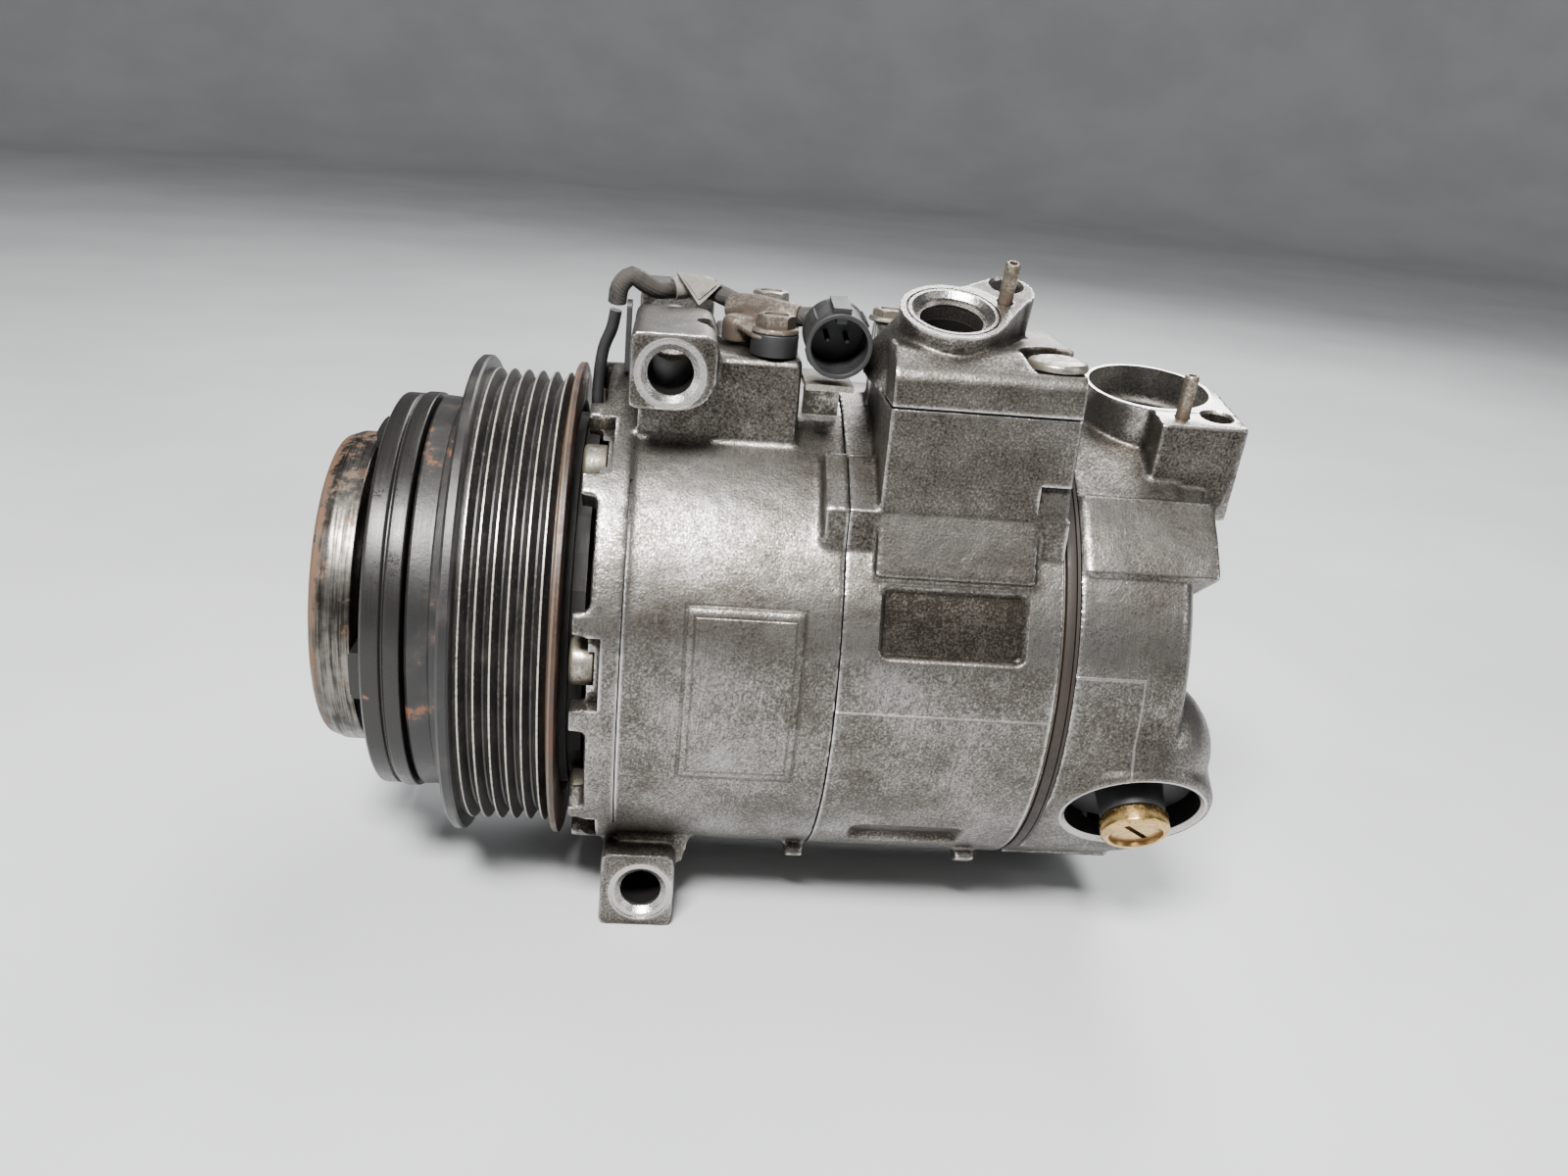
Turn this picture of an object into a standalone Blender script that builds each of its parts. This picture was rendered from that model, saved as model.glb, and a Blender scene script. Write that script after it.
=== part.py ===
"""Belt-driven air-conditioning compressor for a car: seven pistons moved by a tilting plate, with a
magnetic clutch in its pulley.

Lengths are written in millimetres and turned into metres by place(). A position is (station, across,
up): the station runs along the shaft from the pulley's first belt rib, across and up are measured from
the shaft axis. Angles about the shaft start at the side that carries the mounting pads (-Y) and rise
towards +Z.
"""

import math

import bmesh
import bpy
from mathutils import Matrix, Vector

MM = 0.001

# Frame: the shaft lies along +X, and the object stands on its lower mounting boss.
MID_STATION = 71.5
MID_ACROSS = -0.57
AXIS_HEIGHT = 70.6

# Castings
BODY_RADIUS = 60.6
FLANGE_FRONT = 28.7
FLANGE_BACK = 36.0
CRANKCASE_FRONT = 38.0
CRANKCASE_RADIUS = 54.8
HOUSING_END = 84.4
BLOCK_START = 84.7
BLOCK_END = 134.4
HEAD_START = 139.0
HEAD_END = 166.5
HEAD_RADIUS = 60.3

# Bolts that hold the three castings together
BOLT_COUNT = 7
BOLT_CIRCLE = 52.0
FIRST_BOLT_ANGLE = 4.8
BOLT_HOLE_RADIUS = 3.3
BOLT_PITCH = 360.0 / BOLT_COUNT

# Mounting bosses, bored across the shaft for long bolts
PAD_FACE = -44.0
FAR_FACE = 46.0
EAR_STATION = 43.2
UPPER_EAR_UP = 69.5
LOWER_EAR_UP = -60.9
EAR_HOLE_RADIUS = 5.1

# Muffler box on the cylinder block, closed by a bolted cover
BOX_FRONT = -50.0
BOX_BACK = -6.0
BOX_LEFT = 91.2
BOX_RIGHT = 134.0
COVER_SEAM = 67.0
COVER_TOP = 79.6

# Line ports: centre of the port face, and how far its normal leans towards -Y
DISCHARGE_PORT = (105.0, -35.0, 86.5)
DISCHARGE_LEAN = 20.0
DISCHARGE_BORE = 8.1
SUCTION_PORT = (161.0, -10.0, 68.3)
SUCTION_LEAN = 9.0
SUCTION_BORE = 14.8

# Control valve, whose bore leans down towards -Y
VALVE_MOUTH = (161.1, -52.0, -28.0)
VALVE_ANGLE = -36.0
VALVE_BORE = 16.3

# Pulley and clutch
RIB_PITCH = 3.56
RIB_COUNT = 6
RIB_TIP_RADIUS = 58.0
RIB_ROOT_RADIUS = 55.3
PULLEY_FRONT = -13.0
PULLEY_BACK = 22.0
CLUTCH_GAP = 0.9
NOSE_RADIUS = 17.4

# Sides of the larger turned pieces
ROUND = 32

# Pumping mechanism
PISTON_CIRCLE = 39.0
BORE_RADIUS = 15.7
PISTON_RADIUS = 15.1
PLATE_STATION = 77.0
PLATE_HALF = 3.0
PLATE_RADIUS = 45.5
SHOE_GAP = 0.9
SHOE_RADIUS = 5.5
SHAFT_RADIUS = 7.7
TOP_DEAD_ANGLE = FIRST_BOLT_ANGLE + 2.0 * BOLT_PITCH

COLOURS = {
    "cast_aluminium": ((0.55, 0.53, 0.51), 0.42, 0.9),
    "bare_steel": ((0.42, 0.38, 0.34), 0.4, 0.9),
    "rusty_steel": ((0.32, 0.22, 0.16), 0.55, 0.7),
    "zinc_steel": ((0.62, 0.60, 0.55), 0.35, 0.9),
    "black_steel": ((0.06, 0.06, 0.065), 0.35, 0.6),
    "clutch_steel": ((0.20, 0.19, 0.19), 0.38, 0.8),
    "brass": ((0.78, 0.57, 0.25), 0.25, 1.0),
    "rubber": ((0.03, 0.03, 0.03), 0.7, 0.0),
    "gasket": ((0.14, 0.09, 0.07), 0.6, 0.3),
    "black_plastic": ((0.025, 0.025, 0.03), 0.45, 0.0),
    "sleeve": ((0.27, 0.24, 0.20), 0.8, 0.0),
    "tape": ((0.50, 0.48, 0.42), 0.7, 0.0),
    "coil_copper": ((0.45, 0.22, 0.10), 0.4, 0.8),
}


def clear_scene():
    for old in list(bpy.data.objects):
        bpy.data.objects.remove(old, do_unlink=True)


def new_collection(name):
    collection = bpy.data.collections.new(name)
    bpy.context.scene.collection.children.link(collection)
    return collection


def new_material(name):
    colour, roughness, metallic = COLOURS[name]
    material = bpy.data.materials.new(name)
    material.use_nodes = True
    shader = material.node_tree.nodes["Principled BSDF"]
    shader.inputs["Base Color"].default_value = (*colour, 1.0)
    shader.inputs["Roughness"].default_value = roughness
    shader.inputs["Metallic"].default_value = metallic
    return material


clear_scene()
PARTS = new_collection("ac_compressor")
CUTTERS = new_collection("cutters")
MATERIALS = {name: new_material(name) for name in COLOURS}


# Frames and small geometry helpers

def place(station, across, up):
    """World position of a point given in millimetres from the shaft axis."""
    return Vector((station - MID_STATION, across - MID_ACROSS, up + AXIS_HEIGHT)) * MM


def polar(radius, angle):
    """(across, up) of a point at this angle about the shaft."""
    turn = math.radians(angle)
    return -radius * math.cos(turn), radius * math.sin(turn)


def frame_at(point, x_axis=(1, 0, 0), z_axis=(0, 0, 1)):
    """Matrix of a local frame at a point, in which lengths are millimetres."""
    ahead = Vector(x_axis).normalized()
    normal = Vector(z_axis).normalized()
    side = normal.cross(ahead)
    turn = Matrix((ahead, side, normal)).transposed().to_4x4()
    return Matrix.Translation(place(*point)) @ turn @ Matrix.Scale(MM, 4)


BODY_FRAME = frame_at((0, 0, 0))
SHAFT_FRAME = frame_at((0, 0, 0), x_axis=(0, 0, -1), z_axis=(1, 0, 0))


def leaning_frame(point, lean):
    """Frame on a port face: its Z is the face's normal, which leans towards -Y."""
    turn = math.radians(lean)
    return frame_at(point, z_axis=(0, -math.sin(turn), math.cos(turn)))


def valve_frame():
    """Frame in the valve's mouth: its Z points out of the bore."""
    across, up = polar(1.0, VALVE_ANGLE)
    return frame_at(VALVE_MOUTH, z_axis=(0, across, up))


def bolt_angles():
    return [FIRST_BOLT_ANGLE + BOLT_PITCH * i for i in range(BOLT_COUNT)]


def piston_angles():
    return [FIRST_BOLT_ANGLE + BOLT_PITCH * (i + 0.5) for i in range(BOLT_COUNT)]


def arc_points(centre, radius, start, end, steps):
    """Points on an arc, from one angle to another in degrees."""
    turns = [math.radians(start + (end - start) * i / steps) for i in range(steps + 1)]
    return [(centre[0] + radius * math.cos(t), centre[1] + radius * math.sin(t)) for t in turns]


def rounded(corners, steps=3):
    """Outline through corners (x, y, radius), counter-clockwise, each rounded by its radius."""
    outline = []
    for i, (x, y, radius) in enumerate(corners):
        here = Vector((x, y))
        before = (Vector(corners[i - 1][:2]) - here).normalized()
        after = (Vector(corners[(i + 1) % len(corners)][:2]) - here).normalized()
        if radius == 0:
            outline.append((x, y))
            continue
        half = before.angle(after) / 2
        centre = here + (before + after).normalized() * radius / math.sin(half)
        first = here + before * radius / math.tan(half) - centre
        last = here + after * radius / math.tan(half) - centre
        sweep = first.angle_signed(last)
        for step in range(steps + 1):
            spoke = first.copy()
            spoke.rotate(Matrix.Rotation(-sweep * step / steps, 2))
            outline.append(tuple(centre + spoke))
    return outline


# Object makers. A name alone makes a part; material None makes a cutter or another helper.

def new_object(name, mesh, material, frame):
    if material:
        mesh.materials.append(MATERIALS[material])
    thing = bpy.data.objects.new(name, mesh)
    (PARTS if material else CUTTERS).objects.link(thing)
    thing.matrix_world = frame @ Matrix.Scale(1 / MM, 4)
    if not material:
        thing.hide_render = True
        thing.display_type = "WIRE"
    return thing


def mesh_from(name, work):
    """Mesh of a bmesh built in millimetres, with its faces turned out."""
    bmesh.ops.recalc_face_normals(work, faces=work.faces)
    bmesh.ops.scale(work, vec=(MM, MM, MM), verts=work.verts)
    mesh = bpy.data.meshes.new(name)
    work.to_mesh(mesh)
    work.free()
    return mesh


def turned(name, profile, material=None, frame=None, segments=40, bored=True):
    """Solid turned about its frame's Z from (height, radius) points; bored if it doesn't meet the axis."""
    area = sum(a[1] * b[0] - b[1] * a[0] for a, b in zip(profile, profile[1:] + profile[:1]))
    points = profile if area < 0 else profile[::-1]
    mesh = bpy.data.meshes.new(name)
    edges = [(i, i + 1) for i in range(len(points) - 1)]
    if bored:
        edges.append((len(points) - 1, 0))
    mesh.from_pydata([(radius * MM, 0, height * MM) for height, radius in points], edges, [])
    thing = new_object(name, mesh, material, frame or SHAFT_FRAME)
    screw = thing.modifiers.new("turn", "SCREW")
    screw.axis = "Z"
    screw.steps = segments
    screw.render_steps = segments
    screw.use_merge_vertices = True
    screw.merge_threshold = 0.00001
    return thing


def extruded(name, outline, low, high, material=None, frame=None):
    """Flat outline in its frame's XY, drawn along Z from low to high."""
    work = bmesh.new()
    face = work.faces.new([work.verts.new((x, y, low)) for x, y in outline])
    top = bmesh.ops.extrude_face_region(work, geom=[face])["geom"]
    lifted = [item for item in top if isinstance(item, bmesh.types.BMVert)]
    bmesh.ops.translate(work, verts=lifted, vec=(0, 0, high - low))
    return new_object(name, mesh_from(name, work), material, frame or BODY_FRAME)


def block(name, low, high, material=None, frame=None):
    outline = [(low[0], low[1]), (high[0], low[1]), (high[0], high[1]), (low[0], high[1])]
    return extruded(name, outline, low[2], high[2], material, frame)


def across_prism(name, outline, start, end, material=None):
    """Outline in (station, up), drawn across the shaft."""
    frame = frame_at((0, 0, 0), z_axis=(0, -1, 0))
    flipped = [(station, up) for station, up in outline]
    return extruded(name, flipped, -end, -start, material, frame)


def along_prism(name, outline, start, end, material=None):
    """Outline in (across, up), drawn along the shaft."""
    frame = frame_at((0, 0, 0), x_axis=(0, 1, 0), z_axis=(1, 0, 0))
    return extruded(name, outline, start, end, material, frame)


def sector(name, stations, radii, angles, material=None, steps=6):
    """Curved block about the shaft, between two stations, radii and angles."""
    outline = []
    for radius, (start, end) in zip(radii, (angles, angles[::-1])):
        for i in range(steps + 1):
            outline.append(polar(radius, start + (end - start) * i / steps))
    return along_prism(name, outline, stations[0], stations[1], material)


def rod(name, radius, low, high, material=None, frame=None, segments=16, end_radius=None):
    """Cylinder or cone on its frame's Z, from low to high."""
    work = bmesh.new()
    bmesh.ops.create_cone(
        work,
        cap_ends=True,
        segments=segments,
        radius1=radius,
        radius2=radius if end_radius is None else end_radius,
        depth=high - low,
        matrix=Matrix.Translation((0, 0, (low + high) / 2)),
    )
    return new_object(name, mesh_from(name, work), material, frame or BODY_FRAME)


def shaft_rod(name, radius, stations, at=(0, 0), material=None, segments=16):
    """Cylinder along the shaft's direction, centred at (across, up)."""
    frame = frame_at((0, *at), x_axis=(0, 0, -1), z_axis=(1, 0, 0))
    return rod(name, radius, stations[0], stations[1], material, frame, segments)


def across_rod(name, radius, station, up, start, end, segments=20, end_radius=None):
    """Cutter across the shaft, for a mounting bolt."""
    frame = frame_at((station, 0, up), z_axis=(0, 1, 0))
    return rod(name, radius, start, end, None, frame, segments, end_radius)


def ball(name, radius, frame, segments=12):
    work = bmesh.new()
    bmesh.ops.create_uvsphere(work, u_segments=segments, v_segments=segments // 2, radius=radius)
    return new_object(name, mesh_from(name, work), None, frame)


def boolean(thing, tools, operation):
    for tool in tools:
        modifier = thing.modifiers.new(tool.name, "BOOLEAN")
        modifier.operation = operation
        modifier.object = tool
        modifier.solver = "EXACT"


def join(thing, *tools):
    boolean(thing, tools, "UNION")


def cut(thing, *tools):
    boolean(thing, tools, "DIFFERENCE")


def smooth_route(points, spacing):
    """Points on a Catmull-Rom curve through a hand-picked route, about this far apart."""
    path = [Vector(point) for point in points]
    path = [2 * path[0] - path[1]] + path + [2 * path[-1] - path[-2]]
    curve = []
    for a, b, c, d in zip(path, path[1:], path[2:], path[3:]):
        count = max(1, round((c - b).length / spacing))
        for step in range(count):
            t = step / count
            curve.append(
                0.5 * (2 * b + (c - a) * t + (2 * a - 5 * b + 4 * c - d) * t**2 + (3 * b - a - 3 * c + d) * t**3)
            )
    return curve + [path[-2]]


def tube(name, route, radius, material, spacing=6.0):
    """Round cable along a route of (station, across, up) points, made into a mesh."""
    curve = bpy.data.curves.new(name, "CURVE")
    curve.dimensions = "3D"
    curve.bevel_depth = radius * MM
    curve.bevel_resolution = 2
    curve.use_fill_caps = True
    points = smooth_route(route, spacing)
    spline = curve.splines.new("POLY")
    spline.points.add(len(points) - 1)
    for target, point in zip(spline.points, points):
        target.co = (*place(*point), 1.0)
    guide = bpy.data.objects.new(name + "_guide", curve)
    CUTTERS.objects.link(guide)
    bpy.context.view_layer.update()
    evaluated = guide.evaluated_get(bpy.context.evaluated_depsgraph_get())
    mesh = bpy.data.meshes.new_from_object(evaluated)
    bpy.data.objects.remove(guide, do_unlink=True)
    work = bmesh.new()
    work.from_mesh(mesh)
    bmesh.ops.remove_doubles(work, verts=work.verts, dist=0.000001)
    bmesh.ops.recalc_face_normals(work, faces=work.faces)
    work.to_mesh(mesh)
    work.free()
    mesh.materials.clear()
    return new_object(name, mesh, material, Matrix.Scale(MM, 4))


def bolt_hole_cutters(prefix, stations):
    holes = []
    for i, angle in enumerate(bolt_angles()):
        at = polar(BOLT_CIRCLE, angle)
        holes.append(shaft_rod(f"{prefix}_{i}", BOLT_HOLE_RADIUS, stations, at, segments=8))
    return holes


# Castings

def upper_ear_outline():
    """Mounting pad: square on the pulley's side, well rounded on the other."""
    return rounded([(34.4, 61.6, 1.5), (53.2, 61.6, 7.5), (53.2, 78.2, 5.0), (34.4, 78.2, 2.0)])


def lower_ear_outline():
    return rounded(
        [
            (33.0, -AXIS_HEIGHT, 1.5),
            (51.4, -AXIS_HEIGHT, 2.0),
            (51.4, -50.5, 2.5),
            (33.2, -50.5, 1.5),
        ]
    )


def lug_outline(mirrored=False):
    """Corner-shaped boss where two castings meet, seen along the shaft."""
    side = -1 if mirrored else 1
    corners = [(-50.3, 30.0), (-50.3, 43.5), (-36.5, 52.8), (-27.0, 44.0), (-40.0, 28.0)]
    return [(across * side, up) for across, up in corners]


def front_housing():
    outside = [
        (HOUSING_END, 0.0),
        (HOUSING_END, BODY_RADIUS),
        (FLANGE_BACK, BODY_RADIUS),
        (FLANGE_BACK - 0.4, BODY_RADIUS + 1.2),
        (FLANGE_FRONT, BODY_RADIUS + 1.0),
        (FLANGE_FRONT, 47.6),
        (33.0, 47.6),
        (33.0, 30.0),
        (27.1, 30.0),
        (27.1, 19.0),
        (24.1, 19.0),
        (24.1, 17.9),
        (22.3, 17.9),
        (22.3, 19.0),
        (13.0, 19.0),
        (13.0, NOSE_RADIUS),
        (-8.4, NOSE_RADIUS),
        (-8.4, NOSE_RADIUS - 1.0),
        (-10.2, NOSE_RADIUS - 1.0),
        (-10.2, NOSE_RADIUS),
        (-12.0, NOSE_RADIUS - 0.5),
        (-12.0, 0.0),
    ]
    housing = turned("front_housing", outside, "cast_aluminium", segments=ROUND, bored=False)

    plinth = [(-31.0, 40.0), (-31.0, 70.8), (-29.8, 72.0), (-4.0, 72.0), (-1.0, 50.0)]
    join(housing, along_prism("plinth", plinth, FLANGE_BACK + 0.2, 54.5))
    shelf = [(-31.0, 40.0), (-31.0, 70.8), (-29.8, 72.0), (19.0, 72.0), (22.0, 45.0)]
    join(housing, along_prism("shelf", shelf, 54.0, 73.0))
    join(housing, rod("clamp_boss", 4.9, 60.0, 75.6, frame=frame_at((67.3, 12.0, 0))))
    join(housing, across_prism("upper_ear", upper_ear_outline(), PAD_FACE, -6.0))
    join(housing, across_prism("far_upper_ear", upper_ear_outline(), 20.0, FAR_FACE))
    far_root = [(36.2, 44.0), (50.5, 44.0), (50.5, 66.0), (36.2, 66.0)]
    join(housing, across_prism("far_ear_root", far_root, 21.0, 44.0))
    join(housing, across_prism("lower_ear", lower_ear_outline(), PAD_FACE, FAR_FACE))
    web = [(36.4, -56.0), (53.0, -56.0), (56.0, -44.0), (36.4, -44.0)]
    join(housing, across_prism("lower_web", web, -37.5, 39.0))

    for i, angle in enumerate(bolt_angles()):
        for side in (-11.0, 10.5):
            spread = (angle + side - 2.6, angle + side + 2.6)
            tab = sector(f"flange_tab_{i}_{side}", (25.4, 30.0), (55.6, BODY_RADIUS + 0.7), spread, steps=1)
            join(housing, tab)
    join(housing, along_prism("front_lug", lug_outline(), 79.2, HOUSING_END - 0.05))
    join(housing, along_prism("front_lug_far", lug_outline(True), 79.2, HOUSING_END - 0.05))
    join(housing, sector("front_foot", (79.0, 83.6), (57.0, 64.4), (-59.5, -55.0), steps=1))
    join(housing, sector("side_pad", (50.2, 76.3), (57.0, 61.2), (-20.0, 20.0), steps=5))

    cavity = [(85.0, 0.0), (85.0, CRANKCASE_RADIUS), (CRANKCASE_FRONT, CRANKCASE_RADIUS), (CRANKCASE_FRONT, 0.0)]
    cut(housing, turned("crankcase", cavity, segments=ROUND, bored=False))
    for i, angle in enumerate(bolt_angles()):
        at = polar(BOLT_CIRCLE, angle)
        column = shaft_rod(f"bolt_column_{i}", 5.5, (CRANKCASE_FRONT - 1.0, HOUSING_END - 0.1), at, segments=8)
        join(housing, column)
    bore = [(39.0, 0.0), (39.0, 12.3), (9.0, 12.3), (9.0, 13.6), (-13.0, 13.6), (-13.0, 0.0)]
    cut(housing, turned("nose_bore", bore, segments=24, bored=False))
    cut(housing, *bolt_hole_cutters("housing_bolt_hole", (20.0, 90.0)))
    for i, angle in enumerate(bolt_angles()):
        seat = shaft_rod(f"bolt_seat_{i}", 6.5, (24.0, 30.1), polar(BOLT_CIRCLE, angle), segments=12)
        cut(housing, seat)
    seal_groove = [(86.0, 56.3), (86.0, 58.9), (82.4, 58.9), (82.4, 56.3)]
    cut(housing, turned("seal_groove", seal_groove, segments=ROUND))
    for up in (UPPER_EAR_UP, LOWER_EAR_UP):
        cut(housing, across_rod(f"ear_bore_{up}", EAR_HOLE_RADIUS, EAR_STATION, up, -60.0, 60.0))
        mouth = across_rod(f"ear_mouth_{up}", 7.4, EAR_STATION, up, PAD_FACE - 0.1, PAD_FACE + 1.6, 20, 4.6)
        cut(housing, mouth)
    cut(housing, rod("clamp_bolt_hole_rear", 3.0, 64.0, 80.0, frame=frame_at((67.3, 12.0, 0)), segments=12))
    cut(housing, rod("clamp_bolt_hole_front", 3.0, 64.0, 80.0, frame=frame_at((66.4, -26.0, 0)), segments=12))


def cylinder_block():
    outside = [(BLOCK_END, 0.0), (BLOCK_END, BODY_RADIUS + 0.2), (BLOCK_START, BODY_RADIUS + 0.2), (BLOCK_START, 0.0)]
    casting = turned("cylinder_block", outside, "cast_aluminium", segments=ROUND, bored=False)
    join(casting, sector("box_foot", (91.3, 127.6), (50.0, 62.4), (28.7, 46.0), steps=4))
    walls = [(BOX_FRONT, 38.0), (BOX_FRONT, COVER_SEAM - 0.3), (BOX_BACK, COVER_SEAM - 0.3), (BOX_BACK, 45.0)]
    join(casting, along_prism("muffler_box", walls, BOX_LEFT, BOX_RIGHT))
    join(casting, along_prism("block_lug", lug_outline(), BLOCK_START + 0.05, 92.1))
    join(casting, along_prism("block_lug_far", lug_outline(True), BLOCK_START + 0.05, 92.1))
    join(casting, along_prism("rear_lug", lug_outline(), 127.0, BLOCK_END - 0.05))
    join(casting, along_prism("rear_lug_far", lug_outline(True), 127.0, BLOCK_END - 0.05))
    join(casting, sector("rear_foot", (122.5, 127.5), (57.0, 64.0), (-57.0, -52.5), steps=1))

    notch = [(-53.0, 43.9), (-50.3, 43.7), (-38.2, 51.4), (-53.0, 51.4)]
    cut(casting, along_prism("lug_notch", notch, 126.8, 136.0))
    cut(casting, sector("side_pocket", (93.6, 126.4), (59.7, 66.0), (11.6, 26.5), steps=3))
    cut(casting, sector("low_pocket", (91.6, 128.1), (59.9, 66.0), (-48.0, -34.3), steps=3))
    chamber = ((BOX_LEFT + 6.0, BOX_FRONT + 5.0, 57.0), (BOX_RIGHT - 6.0, BOX_BACK - 5.0, 80.0))
    cut(casting, block("muffler_chamber", *chamber))
    for i, angle in enumerate(piston_angles()):
        bore = shaft_rod(f"bore_{i}", BORE_RADIUS, (80.0, 140.0), polar(PISTON_CIRCLE, angle), segments=18)
        cut(casting, bore)
    cut(casting, shaft_rod("rear_shaft_bore", 12.4, (80.0, 140.0), segments=20))
    cut(casting, *bolt_hole_cutters("block_bolt_hole", (80.0, 140.0)))
    for i, (station, across) in enumerate(COVER_BOLTS):
        hole = rod(f"cover_thread_{i}", 2.9, 58.0, 90.0, frame=frame_at((station, across, 0)), segments=12)
        cut(casting, hole)


COVER_BOLTS = ((128.6, -41.0), (94.3, -13.0))


def muffler_cover():
    outline = rounded(
        [
            (BOX_FRONT, COVER_SEAM + 0.3, 0),
            (BOX_BACK, COVER_SEAM + 0.3, 0),
            (BOX_BACK, COVER_TOP, 3.0),
            (BOX_FRONT, COVER_TOP, 3.5),
        ]
    )
    cover = along_prism("muffler_cover", outline, BOX_LEFT, BOX_RIGHT, "cast_aluminium")
    face = leaning_frame(DISCHARGE_PORT, DISCHARGE_LEAN)
    ring = [(x, y) for x, y in arc_points((0, 0), 12.1, 75, 330, 16)]
    lobe = ring + arc_points((13.9, 12.0), 6.6, -55, 100, 6)
    join(cover, extruded("discharge_boss", lobe, -16.0, 0.0, frame=face))
    chamber = ((BOX_LEFT + 6.0, BOX_FRONT + 5.0, 60.0), (BOX_RIGHT - 6.0, BOX_BACK - 5.0, COVER_TOP - 4.0))
    cut(cover, block("cover_chamber", *chamber))
    cut(cover, rod("spot_face", 9.0, 76.2, 110.0, frame=frame_at((*COVER_BOLTS[0], 0)), segments=24))
    cut(cover, rod("discharge_bore", DISCHARGE_BORE, -26.0, 2.0, frame=face, segments=28))
    cut(cover, rod("discharge_chamfer", 8.0, -1.2, 0.2, frame=face, segments=28, end_radius=9.6))
    groove = [(0.5, 10.1), (0.5, 10.7), (-0.6, 10.7), (-0.6, 10.1)]
    cut(cover, turned("discharge_groove", groove, frame=face, segments=28))
    cut(cover, rod("discharge_pin_hole", 2.0, -5.0, 2.0, frame=pin_frame(0), segments=12))
    cut(cover, rod("discharge_thread", 3.5, -12.0, 2.0, frame=shifted(face, 14.2, 14.5), segments=16))
    for i, (station, across) in enumerate(COVER_BOLTS):
        hole = rod(f"cover_bolt_hole_{i}", 3.2, 58.0, 100.0, frame=frame_at((station, across, 0)), segments=12)
        cut(cover, hole)

    rim = [(BOX_LEFT + 0.5, BOX_FRONT + 0.5), (BOX_RIGHT - 0.5, BOX_FRONT + 0.5)]
    rim += [(BOX_RIGHT - 0.5, BOX_BACK - 0.5), (BOX_LEFT + 0.5, BOX_BACK - 0.5)]
    gasket = extruded("muffler_gasket", rim, COVER_SEAM - 0.06, COVER_SEAM + 0.06, "gasket")
    chamber = ((BOX_LEFT + 6.0, BOX_FRONT + 5.0, 60.0), (BOX_RIGHT - 6.0, BOX_BACK - 5.0, 75.0))
    cut(gasket, block("gasket_window", *chamber))
    for i, (station, across) in enumerate(COVER_BOLTS):
        hole = rod(f"gasket_hole_{i}", 3.2, 60.0, 75.0, frame=frame_at((station, across, 0)), segments=12)
        cut(gasket, hole)

    seats = (76.5, COVER_TOP + 0.3)
    for i, ((station, across), seat) in enumerate(zip(COVER_BOLTS, seats)):
        frame = frame_at((station, across, 0))
        bolt = rod(f"muffler_bolt_{i + 1}", 2.6, 60.0, seat + 1.0, "zinc_steel", frame, 12)
        join(bolt, rod(f"muffler_bolt_flange_{i}", 5.2, seat, seat + 1.2, frame=frame, segments=20))
        join(bolt, rod(f"muffler_bolt_hex_{i}", 4.2, seat + 1.0, seat + 4.0, frame=frame, segments=6))


def shifted(frame, x, y, z=0.0):
    return frame @ Matrix.Translation((x, y, z))


def pin_frame(which):
    """Frame at the foot of a port's locating pin."""
    if which == 0:
        return shifted(leaning_frame(DISCHARGE_PORT, DISCHARGE_LEAN), 12.6, 6.2)
    return shifted(leaning_frame(SUCTION_PORT, SUCTION_LEAN), 2.8, -19.0)


def port_pins():
    for name, which, height in (("discharge_port_pin", 0, 9.6), ("suction_port_pin", 1, 10.2)):
        profile = [(height, 0.9), (height, 1.4), (height - 0.4, 1.7), (-4.6, 1.7), (-4.6, 0.9)]
        turned(name, profile, "bare_steel", pin_frame(which), 14)


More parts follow.
